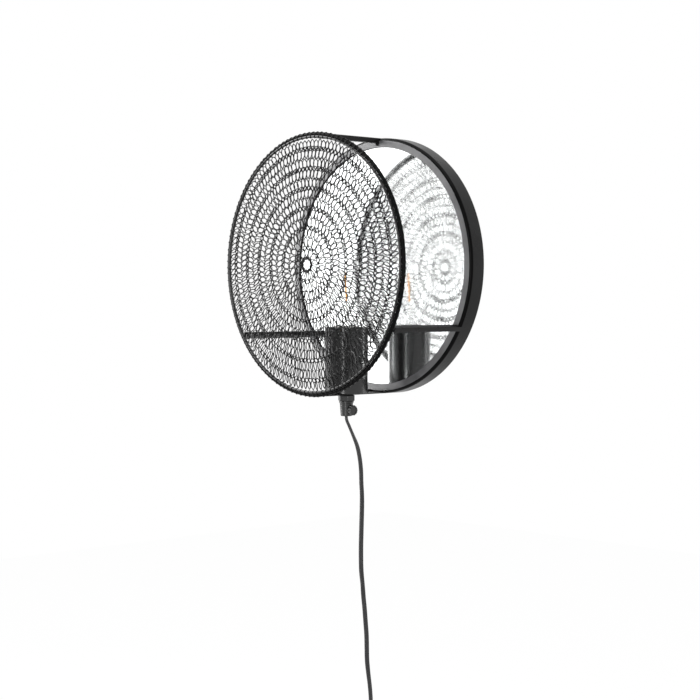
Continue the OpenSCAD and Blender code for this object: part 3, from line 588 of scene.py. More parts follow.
def pressed_board(name, colour):
    """Pressed brown fibre with darker flecks."""
    finish, shader = new_finish(name, colour, 0.8)
    fibres = pattern(finish, "ShaderNodeTexNoise", 240, Detail=8, Roughness=0.7)
    stretched(finish, fibres, (1, 1, 0.35))
    dark = tuple(0.45 * c for c in colour)
    pale = tuple(min(1, 1.5 * c) for c in colour)
    shades(finish, fibres.outputs["Fac"], [(0.3, dark), (0.5, colour), (0.75, pale)],
           shader.inputs["Base Color"])
    relief(finish, shader, fibres.outputs["Fac"], 0.15 * MM, 0.5)
    return finish


def circuit_board(name):
    finish, shader = new_finish(name, (0.03, 0.16, 0.07), 0.4)
    tracks = pattern(finish, "ShaderNodeTexBrick", 220)
    shades(finish, tracks.outputs["Fac"],
           [(0.0, (0.03, 0.16, 0.07)), (1.0, (0.05, 0.26, 0.11))], shader.inputs["Base Color"])
    return finish


FRAME_BLACK = coated_steel("frame_black")
COVER_BLACK = coated_steel("cover_black", 0.2, 0.003, 0.6)
# A darker, nearly glossless copy of the frame's coat: painted shade for the band's rounded front
# corner and for the front wire.
BLACK_PAINTED_SHADE = coated_steel("black_painted_shade", 0.3, 0.002, 0.05)
# The flange's coat is the frame's own paint made far paler and glossier: a painted sheen that
# stands in for the light it reflects.
FLANGE_PAINTED_SHEEN = coated_steel("flange_painted_sheen", 0.36, 0.085, 1.0)
WIRE_BLACK = coated_wire("wire_black")
RIM_BLACK = coated_wire("rim_black", 0.45, 0.11)
MIRROR = aged_mirror("mirror_silver")
MIRROR_BACK = plastic("mirror_paint", (0.16, 0.17, 0.18), 0.6, 200)
GLASS = clear_glass("bulb_clear")
AMBER_PAINTED_GLOW = amber_with_painted_glow("filament_amber")
BRASS = metal("brass_plain", (0.72, 0.5, 0.2), 0.3)
NICKEL = metal("nickel_plain", (0.62, 0.61, 0.58), 0.28)
ZINC = metal("zinc_plate", (0.58, 0.6, 0.62), 0.36, (1, 1, 0.4), 180)
BOARD = pressed_board("board_brown", (0.13, 0.075, 0.04))
BOARD_BLACK = pressed_board("board_black", (0.03, 0.026, 0.022))
HOLDER_BLACK = plastic("holder_phenolic", (0.014, 0.013, 0.012), 0.42, 600)
PORCELAIN = plastic("porcelain", (0.72, 0.7, 0.64), 0.2, 60, 0.02)
CORD_BLACK = plastic("cord_sheath", (0.011, 0.011, 0.012), 0.27, 240, 0.04)
GRIP_BLACK = plastic("grip_nylon", (0.014, 0.014, 0.014), 0.3)
SWITCH_BLACK = plastic("switch_moulded", (0.015, 0.015, 0.016), 0.38, 1400)
PLUG_BLACK = plastic("plug_moulded", (0.014, 0.014, 0.015), 0.46, 1100)
CORE_BROWN = plastic("core_brown", (0.14, 0.06, 0.03), 0.4)
CORE_BLUE = plastic("core_blue", (0.04, 0.1, 0.32), 0.4)
CAP_GLASS = plastic("cap_black_glass", (0.012, 0.012, 0.016), 0.12, 60)
CIRCUIT = circuit_board("driver_green")


# Camera and cord

def outward(turn, rise):
    """The direction away from the lamp at a turn and rise, in radians."""
    return Vector((math.sin(turn) * math.cos(rise), -math.cos(turn) * math.cos(rise),
                   math.sin(rise)))


def place_facing(name, data, place, back):
    """Places a camera or a light with its back in a direction."""
    placed = bpy.data.objects.new(name, data)
    placed.location = place
    placed.rotation_mode = "QUATERNION"
    placed.rotation_quaternion = (-back).to_track_quat("-Z", "Y")
    bpy.context.scene.collection.objects.link(placed)
    return placed


def add_camera():
    back = outward(CAMERA_TURN, CAMERA_RISE)
    right = Vector((math.cos(CAMERA_TURN), math.sin(CAMERA_TURN), 0))
    target = right * CAMERA_SIDE + Vector((0, 0, CAMERA_UP))
    data = bpy.data.cameras.new("camera")
    data.sensor_width = SENSOR_W
    data.lens = FOCAL_PIXELS * SENSOR_W / PICTURE_W
    data.clip_start = 0.05
    data.clip_end = 50
    bpy.context.scene.camera = place_facing("camera", data, target + back * CAMERA_AWAY, back)


def between(before, start, end, after, share):
    """A point on the smooth curve from start to end."""
    a = 2 * start
    b = end - before
    c = 2 * before - 5 * start + 4 * end - after
    d = 3 * start - before - 3 * end + after
    return (a + b * share + c * share ** 2 + d * share ** 3) / 2


def smooth_run(points, pieces):
    """The points with smooth ones put between them."""
    points = [Vector(p) for p in points]
    ends = [2 * points[0] - points[1], *points, 2 * points[-1] - points[-2]]
    run = []
    for i in range(1, len(ends) - 2):
        for k in range(pieces):
            run.append(between(ends[i - 1], ends[i], ends[i + 1], ends[i + 2], k / pieces))
    return run + [points[-1]]


def coil_point(turn):
    """Where the coil is after some turns: it winds in, climbs a layer and winds out."""
    radius = COIL_IN + COIL_PITCH * abs(turn - COIL_TURNS / 2)
    angle = COIL_FIRST + math.tau * turn
    layer = min(1, max(0, (turn - COIL_TURNS / 2) / COIL_CLIMB + 0.5))
    return Vector((COIL_X + radius * math.sin(angle), SWITCH_Y + COIL_LAYER * layer,
                   COIL_Z + radius * math.cos(angle)))


def coil_heading(turn):
    angle = COIL_FIRST + math.tau * turn
    return Vector((math.cos(angle), 0, -math.sin(angle)))


def twist_at(height):
    """The cord's turn at a height, in radians. It lies untwisted from the switch on."""
    for (high, first), (low, last) in zip(CORD_TWIST, CORD_TWIST[1:]):
        if height >= low:
            share = min(1, max(0, (high - height) / (high - low)))
            return math.radians(first + (last - first) * share * share * (3 - 2 * share))
    return 0.0


def lobes():
    """Section of the flat cord: two round lobes side by side, as (width, thickness)."""
    right = arc((CORD_LOBE_OUT, 0), CORD_LOBE_R, -115, 115, 9)
    left = arc((-CORD_LOBE_OUT, 0), CORD_LOBE_R, 65, 295, 9)
    return right + left


def cord_mesh(name, path):
    section = lobes()
    count = len(section)
    points = []
    faces = []
    last = len(path) - 1
    for i, place in enumerate(path):
        ahead = (path[min(last, i + 1)] - path[max(0, i - 1)]).normalized()
        thick = ahead.cross(Vector((0, 1, 0))).normalized()
        thick = Matrix.Rotation(twist_at(place.z), 3, -ahead) @ thick
        wide = thick.cross(ahead)
        points += [place + wide * w + thick * t for w, t in section]
        if i < last:
            for k in range(count):
                j = (k + 1) % count
                faces.append((i * count + k, i * count + j,
                              (i + 1) * count + j, (i + 1) * count + k))
    faces.append(tuple(range(count - 1, -1, -1)))
    faces.append(tuple(last * count + k for k in range(count)))
    piece = drawn(name, points, [], faces)
    edit(piece)
    bpy.ops.mesh.select_all(action="SELECT")
    bpy.ops.mesh.normals_make_consistent(inside=False)
    done()
    return piece


def add_cord():
    start = coil_point(0) - coil_heading(0) * CORD_W
    end = coil_point(COIL_TURNS) + coil_heading(COIL_TURNS) * CORD_W
    coil = [coil_point(k / COIL_STEPS) for k in range(int(COIL_TURNS * COIL_STEPS) + 1)]
    path = smooth_run([*CORD_ROUTE, start], 4) + coil + [end]
    piece = cord_mesh("cord_flat", path)
    finish_piece(piece, CORD_BLACK, "lamp", ["cord_hang", "cord_lower", "cord_coil"])
    return piece, path


# Rings and mirror

def add_back_ring():
    bpy.ops.mesh.primitive_cylinder_add(
        vertices=RING_SIDES, radius=RING_R, depth=RING_DEPTH,
        location=(0, -RING_DEPTH / 2, 0), rotation=(math.pi / 2, 0, 0))
    piece = added("ring_band")
    edit(piece)
    pick_faces(piece, lambda place, normal: normal.y < -0.9)
    bpy.ops.mesh.inset(thickness=FLANGE_W)
    bpy.ops.mesh.delete(type="FACE")
    pick_faces(piece, lambda place, normal: normal.y > 0.9)
    bpy.ops.mesh.delete(type="FACE")
    front = -RING_DEPTH + 0.01 * MM
    rim = RING_R - 1 * MM

    def on_corner(a, b):
        return max(a.y, b.y) < front and min(a.xz.length, b.xz.length) > rim

    pick_edges(piece, on_corner)
    bpy.ops.mesh.bevel(offset=RING_CORNER, segments=7, profile=0.5, affect="EDGES")
    done()
    give_wall(piece, RING_WALL)
    round_edges(piece, 0.3 * MM, 2, 60)
    finish_piece(piece, FRAME_BLACK, "lamp", ["back_ring"])
    piece.data.materials.append(FLANGE_PAINTED_SHEEN)
    piece.data.materials.append(BLACK_PAINTED_SHADE)
    # Flange faces take the paler copy of the coat, a painted sheen.
    for face in piece.data.polygons:
        facing = -face.normal.y
        # Faces of the rounded front corner take the darker copy of the coat, painted shade.
        face.material_index = 1 if facing > 0.99 else 2 if facing > 0.15 else 0


def add_mirror():
    bpy.ops.mesh.primitive_cylinder_add(
        vertices=RING_SIDES, radius=MIRROR_R, depth=MIRROR_T,
        location=(0, MIRROR_T / 2 - MIRROR_FRONT, 0), rotation=(math.pi / 2, 0, 0))
    piece = added("mirror_sheet")
    round_edges(piece, 0.5 * MM, 2, 60)
    finish_piece(piece, None, "lamp", ["mirror_glass"])
    piece.data.materials.append(MIRROR_BACK)
    piece.data.materials.append(MIRROR)
    for face in piece.data.polygons:
        face.material_index = 1 if face.normal.y < -0.9 else 0


def add_round_wire(name, radius, wire_r, out, node, finish, sides):
    """A round wire ring with its butt weld near the bottom."""
    bpy.ops.mesh.primitive_torus_add(
        major_radius=radius, minor_radius=wire_r, major_segments=RING_SIDES,
        minor_segments=sides, location=(0, -out, 0), rotation=(math.pi / 2, 0, 0))
    piece = added(name)
    edit(piece)
    weld = math.tau / RING_SIDES * 1.6

    def at_weld(place):
        return place.z < 0 and abs(math.atan2(place.x, -place.z) - 0.05) < weld

    pick_points(piece, at_weld)
    bpy.ops.transform.shrink_fatten(value=0.25 * MM)
    done()
    finish_piece(piece, finish, "lamp", [node])


# Knitted mesh

def dome(radius):
    """How far out the mesh stands at a radius."""
    return RIM_OUT + MESH_GAP + MESH_RISE * (1 - (radius / MESH_R) ** 2)


def on_mesh(radius, angle, lift):
    return (radius * math.cos(angle), -dome(radius) - lift, radius * math.sin(angle))


def stitch_pitch(radius):
    return STITCH_PITCH if radius > MIDDLE_R else MIDDLE_PITCH


def sway(angle):
    """The loops lean most at the sides of the mesh and least above and below its middle."""
    return 0.35 + 0.65 * math.cos(angle) ** 2


def stitch_row(base, tip):
    """One wire looped round the mesh. Its loops close at tip and cross at base."""
    middle = (base + tip) / 2
    count = max(9, round(math.tau * middle / stitch_pitch(middle)))
    step = math.tau / count
    start = random.random() * step
    run = []
    for stitch in range(count):
        size = random.uniform(0.52, 0.78)
        slant = STITCH_LEAN * random.uniform(0.75, 1.2) * sway(start + step * stitch)
        reach = (tip - base) * random.uniform(0.92, 1.05)
        for k in range(STITCH_SAMPLES):
            u = math.tau * k / STITCH_SAMPLES
            along = (1 - math.cos(u)) / 2
            point = 1 - abs(u - math.pi) / math.pi
            along += (point - along) * POINTED * point
            radius = base + reach * along
            side = step * (u / math.tau - 0.5 + size * math.sin(u))
            angle = start + step * stitch + side + slant * (along - 0.5) / middle
            run.append(on_mesh(radius, angle, STITCH_LIFT * math.sin(u)))
    return run


def hoop(radius, lift=0.0):
    """A hoop of wire that the loops pull into small waves."""
    waves = max(9, round(math.tau * radius / stitch_pitch(radius)))
    run = []
    for wave in range(waves):
        pull = random.uniform(0.4, 1.0) * MM
        for k in range(WAVE_SAMPLES):
            share = k / WAVE_SAMPLES
            run.append(on_mesh(radius + pull * math.cos(math.tau * share),
                               math.tau * (wave + share) / waves, lift))
    return run


def rim_loop(angle, slant):
    """A loop of thin wire drawn round both wires of the rim."""
    clear = BINDING_WIRE_R + 0.02 * MM
    run = []
    for k in range(BINDING_SAMPLES):
        turn = math.tau * k / BINDING_SAMPLES
        along = math.cos(turn)
        out = math.sin(turn)
        front = (RIM_R * along + RIM_OUT * out + RIM_WIRE_R, RIM_R, RIM_OUT, RIM_WIRE_R)
        back = (FRONT_R * along + FRONT_OUT * out + FRONT_WIRE_R, FRONT_R, FRONT_OUT,
                FRONT_WIRE_R)
        centre_r, centre_out, wire_r = max(front, back)[1:]
        radius = centre_r + (wire_r + clear) * along
        place = angle + slant * math.sin(turn / 2) / RING_R
        run.append((radius * math.cos(place), -centre_out - (wire_r + clear) * out,
                    radius * math.sin(place)))
    return run


def add_knit(name, runs, wire_r, roundness=0):
    """A part of the wire mesh."""
    piece = wires(name, runs, wire_r, roundness)
    finish_piece(piece, WIRE_BLACK, "lamp", ["wire_mesh"], 70)


def add_mesh():
    """Bands of two rows that hook into each other, hoops between bands, the eye and the rim."""
    band = (MESH_R - EYE_R) / MESH_BANDS
    rows = []
    hoops = []
    for k in range(MESH_BANDS):
        inner = EYE_R + band * k
        outer = inner + band
        middle = (inner + outer) / 2
        inner_tip = inner - (STITCH_OVER if k else 0.2 * MM)
        outer_tip = outer + (STITCH_OVER if k < MESH_BANDS - 1 else -0.5 * MM)
        rows.append(stitch_row(middle + STITCH_HOOK, inner_tip))
        rows.append(stitch_row(middle - STITCH_HOOK, outer_tip))
        if k:
            hoops.append(hoop(inner))
    add_knit("mesh_stitches", rows, STITCH_WIRE_R)
    add_knit("mesh_hoops", hoops, HOOP_WIRE_R, 1)
    gathered = [hoop(EYE_R + EYE_STEP * k, 0.5 * MM * (k % 2)) for k in (-2, -1, 0, 1)]
    add_knit("mesh_eye", gathered, STITCH_WIRE_R, 1)
    loops = [rim_loop(math.tau * (k + random.uniform(-0.12, 0.12)) / BINDING_TURNS,
                      random.uniform(2.2, 3.6) * MM) for k in range(BINDING_TURNS)]
    add_knit("rim_loops", loops, BINDING_WIRE_R)


# Struts and strip

def weld_bead(place, size):
    """A small flattened lump of weld."""
    bpy.ops.mesh.primitive_uv_sphere_add(segments=20, ring_count=12, radius=size, location=place)
    piece = added("bead")
    edit(piece)
    bpy.ops.mesh.select_all(action="SELECT")
    bpy.ops.transform.resize(value=(1.1, 0.75, 0.9), center_override=place)
    done()
    return piece


def foot_out(radius):
    """How far out the back ring's surface stands at a radius."""
    into = max(0.0, radius - (RING_R - RING_CORNER))
    return RING_DEPTH - RING_CORNER + math.sqrt(max(0.0, RING_CORNER ** 2 - into ** 2))


def add_strut(node):
    """A square bar whose foot follows the back ring, with its weld bead."""
    inner = RING_R - STRUT_W
    steps = 6
    across = [RING_R - STRUT_W * k / steps for k in range(steps + 1)]
    foot = [(radius, foot_out(radius) + 0.02 * MM) for radius in across]
    outline = [(RING_R, BAR_END), *foot, (inner, BAR_END)]
    points = [(r, -out, -STRUT_W / 2) for r, out in outline]
    piece = extruded(node + "_bar", points, (0, 0, STRUT_W))
    round_edges(piece, 0.45 * MM, 2, 50)
    bead = weld_bead((inner - 0.5 * MM, -RING_DEPTH - 0.9 * MM, 0), 2.3 * MM)
    piece = join(node + "_bar", [piece, bead])
    piece.data.transform(Matrix.Rotation(-math.radians(STRUT_ANGLES[node]), 4, "Y"))
    finish_piece(piece, FRAME_BLACK, "lamp", [node])


def add_strip():
    """A flat bar with its underside round like the rings, and a weld bead at each side."""
    half = STRIP_W / 2
    top = STRIP_T - RING_R
    steps = 12
    under = [-half + STRIP_W * k / steps for k in range(steps + 1)]
    section = [(x, -math.sqrt((RING_R - 0.02 * MM) ** 2 - x * x)) for x in under]
    section += [(x, top) for x in reversed(under)]
    points = [(x, -foot_out(math.hypot(x, z)) - 0.02 * MM, z) for x, z in section]
    piece = extruded("strip_bar", points, (0, -BAR_END, 0))
    edit(piece)
    mesh = bmesh.from_edit_mesh(piece.data)
    for point in mesh.verts:
        point.co.y = max(point.co.y, -BAR_END)
    bmesh.update_edit_mesh(piece.data)
    done()
    round_edges(piece, 0.35 * MM, 2, 50)
    beads = [weld_bead((side * (half - 1 * MM), -RING_DEPTH - 0.8 * MM, top + 0.5 * MM), 2.2 * MM)
             for side in (-1, 1)]
    piece = join("strip_bar", [piece, *beads])
    finish_piece(piece, FRAME_BLACK, "lamp", ["socket_strip"])


# Socket, bulb and cord grip

def add_cover():
    height = COVER_HIGH - COVER_LOW
    bpy.ops.mesh.primitive_cylinder_add(
        vertices=96, radius=COVER_R, depth=height,
        location=(0, -SOCKET_OUT, (COVER_LOW + COVER_HIGH) / 2))
    piece = added("cover_tube")
    edit(piece)
    pick_faces(piece, lambda place, normal: normal.z > 0.9)
    bpy.ops.mesh.inset(thickness=COVER_WALL)
    bpy.ops.mesh.extrude_region_move(
        TRANSFORM_OT_translate={"value": (0, 0, COVER_WALL - height)})
    done()
    round_edges(piece, 0.4 * MM, 3, 50)
    finish_piece(piece, COVER_BLACK, "lamp", ["socket_cover"])


def bulb_profile():
    """The glass from its foot to its top, as (radius, height above the contact)."""
    middle = 76 * MM
    radius = 30 * MM
    neck = 12.8 * MM
    lean = 25
    foot = (radius * math.cos(math.radians(lean)), middle - radius * math.sin(math.radians(lean)))
    drop = (foot[0] - neck) / math.tan(math.radians(lean))
    waist = foot[1] - drop
    ease = 5 * MM
    below = [(neck, 26.5 * MM), (neck, waist - ease)]
    bend = [(neck + ease * 0.11, waist + ease * 0.1), (neck + ease * 0.42, waist + ease * 0.9)]
    return below + bend + arc((0, middle), radius, -lean, 90, 30)


def add_bulb():
    outline = [(r, h + BULB_TIP) for r, h in bulb_profile()]
    piece = turned("bulb_envelope", outline, 96)
    give_wall(piece, 0.8 * MM)
    finish_piece(piece, GLASS, "bulb", ["bulb_glass"], 60)

    stem = [(11.6, 28), (11.0, 29), (8.2, 31.2), (5.2, 34), (3.6, 37), (3.1, 40), (3.1, 44.6),
            (2.5, 45.7), (1.4, 46), (1.2, 45.4), (1.9, 44.6), (2.3, 40), (2.9, 36.6), (4.7, 33.4),
            (7.7, 30.6), (10.4, 28.6), (11.0, 28)]
    piece = turned("bulb_foot", [(r * MM, h * MM + BULB_TIP) for r, h in stem], 48, closed=True)
    finish_piece(piece, GLASS, "bulb", ["bulb_stem"], 60)


def add_filament():
    low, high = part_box("filament")
    foot = Vector((0, -SOCKET_OUT, low.z))
    length = high.z - low.z
    bpy.ops.mesh.primitive_cylinder_add(
        vertices=16, radius=0.9 * MM, depth=length,
        location=foot + Vector((0, 0, length / 2)))
    piece = added("filament_rod")
    edit(piece)
    pick_faces(piece, lambda place, normal: abs(normal.z) > 0.9)
    bpy.ops.mesh.inset(thickness=0.25 * MM)
    done()
    lean = math.radians(3.5)
    turn = Matrix.Translation(foot) @ Matrix.Rotation(-lean, 4, "Y") @ Matrix.Translation(-foot)
    round_edges(piece, 0.2 * MM, 2, 60)
    piece.data.transform(turn)
    finish_piece(piece, AMBER_PAINTED_GLOW, "bulb", ["filament"])


def add_grip():
    """Grip nut, and cord grip with its boss."""
    low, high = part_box("grip_nut")
    bpy.ops.mesh.primitive_cylinder_add(
        vertices=6, radius=NUT_W / 2 / math.cos(math.pi / 6), depth=high.z - low.z + 1.8 * SEAT,
        location=(0, -SOCKET_OUT, (low.z + high.z) / 2))
    nut = added("nut_hex")
    round_edges(nut, 0.9 * MM, 3, 40)
    finish_piece(nut, COVER_BLACK, "lamp", ["grip_nut"])

    low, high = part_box("cord_grip")
    bottom = low.z
    top = high.z
    lip = top - 2 * MM
    outline = [(3.2, bottom), (6.1, bottom), (6.7, bottom + 0.6 * MM), (7.8, lip - 0.4 * MM),
               (8.2, lip), (8.55, lip + 0.3 * MM), (8.55, top - 0.3 * MM), (8.2, top),
               (5.1, top), (5.1, top - 6.6 * MM), (3.2, top - 6.8 * MM)]
    body = turned("grip_sleeve", [(r * MM, h) for r, h in outline], 64, closed=True)
    bpy.ops.mesh.primitive_cylinder_add(
        vertices=32, radius=BOSS_R, depth=BOSS_OUT - BOSS_IN,
        location=SCREW_AXIS + SIDEWAYS * (BOSS_OUT + BOSS_IN) / 2,
        rotation=(0, math.pi / 2, 0))
    boss = added("boss")
    round_edges(boss, 0.4 * MM, 2, 50)
    fuse(body, boss)
    finish_piece(body, GRIP_BLACK, "lamp", ["cord_grip"], 40)


def add_thumb_screw():
    """Grooved knob with a sunk face, and the shank in its boss."""
    knob_in = BOSS_OUT + SEAT
    centre = SCREW_AXIS + SIDEWAYS * (knob_in + KNOB_T / 2)
    bpy.ops.mesh.primitive_cylinder_add(
        vertices=56, radius=KNOB_R, depth=KNOB_T, location=centre, rotation=(0, math.pi / 2, 0))
    knob = added("knob_knurled")
    edit(knob)

    def in_groove(place):
        arm = place - centre
        angle = math.degrees(math.atan2(arm.z, arm.y)) % (360 / KNOB_GROOVES)
        return 6 < angle < 19.7

    pick_points(knob, in_groove)
    bpy.ops.transform.resize(value=(1, 0.9, 0.9), center_override=centre)
    pick_faces(knob, lambda place, normal: normal.dot(SIDEWAYS) > 0.9)
    bpy.ops.mesh.inset(thickness=1.3 * MM)
    bpy.ops.mesh.extrude_region_move(TRANSFORM_OT_translate={"value": -SIDEWAYS * 0.6 * MM})
    done()
    round_edges(knob, 0.25 * MM, 2, 50)
    shank_in = CORD_W / 2
    shank_out = knob_in + 0.9 * MM
    bpy.ops.mesh.primitive_cylinder_add(
        vertices=20, radius=SCREW_R, depth=shank_out - shank_in,
        location=SCREW_AXIS + SIDEWAYS * (shank_out + shank_in) / 2,
        rotation=(0, math.pi / 2, 0))
    shank = added("shank")
    round_edges(shank, 0.3 * MM, 2, 50)
    screw = join("thumb_screw_knob", [knob, shank])
    finish_piece(screw, GRIP_BLACK, "thumb_screw", ["thumb_screw"], 40)


# Switch, tie and plug

def add_switch_half(name, node, side):
    """One half of the switch's body, with the way for the cord. The front one has a window."""
    middle = (SWITCH_TOP + SWITCH_BOTTOM) / 2
    length = SWITCH_TOP - SWITCH_BOTTOM
    half = SWITCH_T / 2 - SWITCH_SEAM
    bpy.ops.mesh.primitive_cube_add(
        size=1, location=(SWITCH_X + side * (half / 2 + SWITCH_SEAM), SWITCH_Y, middle),
        scale=(half, SWITCH_W, length))
    piece = added(name)
    edit(piece)
    pick_edges(piece, lambda a, b: abs(a.x - b.x) > half / 2)
    bpy.ops.mesh.bevel(offset=SWITCH_CORNER, segments=6, profile=0.5, affect="EDGES")
    pick_faces(piece, lambda place, normal: normal.x * side > 0.9)
    bpy.ops.mesh.inset(thickness=1.4 * MM)
    done()
    round_edges(piece, 0.9 * MM, 3, 60)
    bpy.ops.mesh.primitive_cube_add(
        size=1, location=(SWITCH_X, SWITCH_Y, middle), scale=(*CORD_WAY, length + 4 * MM))
    fuse(piece, added("way"), "DIFFERENCE")
    if side > 0:
        bpy.ops.mesh.primitive_cube_add(
            size=1, location=(SWITCH_X + half, SWITCH_Y, middle), scale=WINDOW)
        fuse(piece, added("window"), "DIFFERENCE")
    finish_piece(piece, SWITCH_BLACK, "lamp", [node], 40)
    return piece


def add_rocker():
    """The rocker, which is drawn level and then tipped to its rest."""
    pivot = Vector((SWITCH_X + ROCKER_PIVOT, SWITCH_Y, (SWITCH_TOP + SWITCH_BOTTOM) / 2))
    half_l = ROCKER_L / 2
    top = SWITCH_T / 2 - ROCKER_PIVOT
    outline = [(-1.8 * MM, -4 * MM), (-1.8 * MM, 4 * MM),
               (top - 3 * MM, half_l - 0.4 * MM), (top + 1.6 * MM, half_l - 0.9 * MM)]
    outline += [(top + 1.6 * MM - 1.4 * MM * math.cos(math.radians(k * 18 - 90)) ** 2,
                 (half_l - 0.9 * MM) * (1 - k / 5)) for k in range(1, 10)]
    outline += [(top + 1.6 * MM, 0.9 * MM - half_l), (top - 3 * MM, 0.4 * MM - half_l)]
    points = [(pivot.x + x, pivot.y - ROCKER_W / 2, pivot.z + z) for x, z in outline]
    rocker = extruded("rocker_key", points, (0, ROCKER_W, 0))
    round_edges(rocker, 0.4 * MM, 2, 50)
    rocker.data.transform(Matrix.Translation(pivot) @ Matrix.Rotation(ROCKER_REST, 4, "Y")
                          @ Matrix.Translation(-pivot))
    finish_piece(rocker, SWITCH_BLACK, "rocker", ["switch_rocker"], 40)
    return rocker


def add_tie():
    """A flat strap round the coil, drawn along X and then turned across the cord."""
    low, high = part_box("coil_tie")
    middle = (low + high) / 2
    depth = (high.y - low.y) / 2
    span = TIE_SPAN / 2
    corner = 2.5 * MM
    outline = []
    for x, y, first in ((1, 1, 0), (-1, 1, 90), (-1, -1, 180), (1, -1, 270)):
        outline += arc((x * (depth - corner), y * (span - corner)), corner, first, first + 90, 5)
    points = [(-TIE_W / 2, y, z) for y, z in outline]
    edges = [(i, (i + 1) % len(points)) for i in range(len(points))]
    piece = drawn("tie_strap", points, edges)
    edit(piece)
    bpy.ops.mesh.select_mode(type="EDGE")
    bpy.ops.mesh.select_all(action="SELECT")
    bpy.ops.mesh.extrude_edges_move(TRANSFORM_OT_translate={"value": (TIE_W, 0, 0)})
    face_outwards()
    done()
    give_wall(piece, 1 * MM)
    round_edges(piece, 0.25 * MM, 2, 50)
    piece.data.transform(Matrix.Translation(middle) @ Matrix.Rotation(-TIE_TURN, 4, "Y"))
    finish_piece(piece, PLUG_BLACK, "lamp", ["coil_tie"], 40)
    return piece


def add_plug():
    """The moulded plug with its ribbed relief, and the two pins with their sleeves."""
    end = coil_point(COIL_TURNS) + coil_heading(COIL_TURNS) * CORD_W
    low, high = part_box("plug_body")
    face = low.z
    body_top = face + PLUG_BODY_H
    wide = (high.y - low.y) / 2 / MM
    right = [(wide - 3, 0), (wide - 0.6, 1), (wide, 3), (wide, 15), (wide - 1, 18), (8.4, 30.5),
             (7, PLUG_BODY_H / MM)]
    left = [(-y, z) for y, z in reversed(right)]
    outline = [left[-1], *right, *left[:-1]]
    points = [(low.x, end.y + y * MM, face + z * MM) for y, z in outline]
    body = extruded("plug_housing", points, (high.x - low.x, 0, 0))
    round_edges(body, 2.2 * MM, 4, 50)
    rings = []
    for k in range(6):
        base = body_top + k * 3.1 * MM
        radius = (5.4 - 0.28 * k) * MM
        rings += [(radius, base), (radius, base + 1.9 * MM), (radius - 0.9 * MM, base + 2.2 * MM),
                  (radius - 0.9 * MM, base + 2.9 * MM)]
    outline = [(0, body_top - 2 * MM), (5.2 * MM, body_top - 2 * MM), *rings,
               (3.5 * MM, body_top + 18.7 * MM), (3.4 * MM, high.z - 0.3 * MM),
               (3.1 * MM, high.z), (0, high.z)]
    collar = turned("collar", outline, 32, centre=(end.x, end.y, 0))
    body = join("plug_housing", [body, collar])
    finish_piece(body, PLUG_BLACK, "lamp", ["plug_body"], 40)

    pins = []
    for side in (-1, 1):
        outline = [(0, -19), (1.2, -19), (1.75, -18.6), (2, -17.8), (2, -9), (1.9, -8.9),
                   (1.9, -0.02), (0, -0.02)]
        pins.append(turned("pin", [(r * MM, face + h * MM) for r, h in outline], 32,
                           centre=(end.x, end.y + side * PIN_SPACING / 2, 0)))
    pins = join("plug_prongs", pins)
    finish_piece(pins, None, "lamp", ["plug_pins"], 40)
    pins.data.materials.append(NICKEL)
    pins.data.materials.append(PLUG_BLACK)
    for part in pins.data.polygons:
        part.material_index = 1 if part.center.z > face - 9 * MM else 0
    return [body, pins]


# Finishes of the solids that stay as they are

STAYING = {
    "mirror_backing": BOARD, "back_board": BOARD_BLACK, "mirror_clips": ZINC,
    "board_tabs": ZINC, "keyhole_plates": ZINC, "hanger_screws": ZINC, "board_screws": ZINC,
    "threaded_nipple": BRASS, "nipple_nut": BRASS, "holder_cap": HOLDER_BLACK,
    "holder_core": PORCELAIN, "holder_sleeve": HOLDER_BLACK, "screw_shell": BRASS,
    "centre_contact": BRASS, "terminal_screws": BRASS, "inner_leads": CORE_BROWN,
    "filament_supports": NICKEL, "bulb_cap": NICKEL, "cap_insulator": CAP_GLASS,
    "cap_contact": NICKEL, "driver_board": CIRCUIT, "switch_contacts": BRASS,
    "switch_leads": CORE_BLUE, "switch_screws": ZINC,
}


def dress_solids():
    for node, finish in STAYING.items():
        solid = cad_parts[node]
        for place in solid.material_slots:
            place.material = finish


# Floor and light

def add_floor():
    """A pale floor that the camera and glossy faces see as nearly plain white."""
    bpy.ops.mesh.primitive_plane_add(size=FLOOR_W, location=FLOOR_PLACE)
    floor = bpy.context.object
    floor.name = "floor"
    finish, shader = new_finish("floor_white", (0.86, 0.86, 0.86), 0.6)
    floor.data.materials.append(finish)
    tree = finish.node_tree
    nodes = tree.nodes
    links = tree.links
    ray = nodes.new("ShaderNodeLightPath").outputs
    glow = nodes.new("ShaderNodeEmission")
    glow.inputs["Strength"].default_value = FLOOR_GLOW
    mix = nodes.new("ShaderNodeMixShader")
    seen = maths(tree, "MAXIMUM", ray["Is Camera Ray"], ray["Is Glossy Ray"])
    links.new(maths(tree, "MULTIPLY", seen, FLOOR_GLOW_SHARE), mix.inputs["Fac"])
    links.new(shader.outputs["BSDF"], mix.inputs[1])
    links.new(glow.outputs["Emission"], mix.inputs[2])
    links.new(mix.outputs["Shader"], nodes["Material Output"].inputs["Surface"])


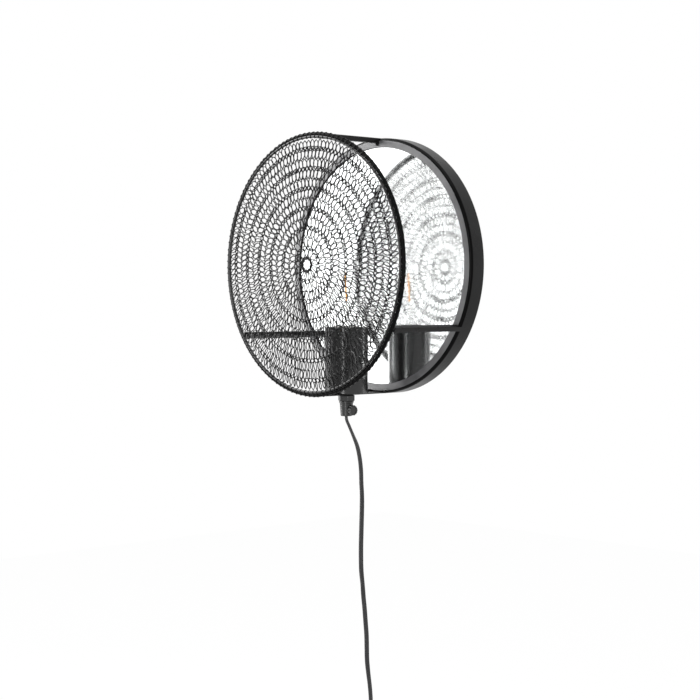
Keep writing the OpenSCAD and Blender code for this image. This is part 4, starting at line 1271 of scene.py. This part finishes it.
def add_world():
    """A soft even sky that the camera, metal and glass see as white."""
    world = bpy.data.worlds.new("studio")
    bpy.context.scene.world = world
    world.use_nodes = True
    tree = world.node_tree
    sky = tree.nodes["Background"]
    sky.inputs["Color"].default_value = (1, 1, 1, 1)
    ray = tree.nodes.new("ShaderNodeLightPath").outputs
    seen = maths(tree, "MAXIMUM", ray["Is Camera Ray"], ray["Is Glossy Ray"])
    seen = maths(tree, "MAXIMUM", seen, ray["Is Transmission Ray"])
    spread(world, seen, SKY_STRENGTH, 1.0, sky.inputs["Strength"], 0.0, 1.0)


def add_softbox(name, turn, rise, away, size, power):
    """A flat light that faces the lamp's middle, with its turn and rise in degrees."""
    back = outward(math.radians(turn), math.radians(rise))
    data = bpy.data.lights.new(name, "AREA")
    data.shape = "RECTANGLE"
    data.size, data.size_y = size
    data.energy = power
    place_facing(name, data, back * away, back)


# The lamp and its studio

add_camera()
cord, cord_path = add_cord()
add_back_ring()
add_mirror()
# The front wire takes the darker copy of the coat, painted shade.
add_round_wire("ring_front_wire", FRONT_R, FRONT_WIRE_R, FRONT_OUT, "front_ring",
               BLACK_PAINTED_SHADE, 16)
add_round_wire("ring_rim_wire", RIM_R, RIM_WIRE_R, RIM_OUT, "mesh_rim_wire",
               RIM_BLACK, 12)
add_mesh()
for strut in STRUT_ANGLES:
    add_strut(strut)
add_strip()
add_cover()
add_bulb()
add_filament()
add_grip()
add_thumb_screw()
on_cord = [add_switch_half("switch_back", "switch_base", -1),
           add_switch_half("switch_front", "switch_cover", 1), add_rocker(), add_tie(), *add_plug()]
on_cord += [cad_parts[n] for n in ("switch_contacts", "switch_leads", "switch_screws")]
dress_solids()
add_floor()
add_world()
add_softbox("wide", -47, 1, 2.6, (1.6, 1.6), 8.6)
add_softbox("key", -60, 36, 2.4, (1.2, 1.2), 34)
add_softbox("top", 20, 75, 2.2, (1.6, 1.6), 20)
add_softbox("strip_near", 28, 4, 2.6, (0.35, 1.8), 22)
add_softbox("strip_far", 152, 4, 2.6, (0.4, 1.8), 4)
add_softbox("strip_side", -60, 4, 2.6, (0.35, 1.8), 22)

bpy.context.scene.view_settings.view_transform = "Standard"
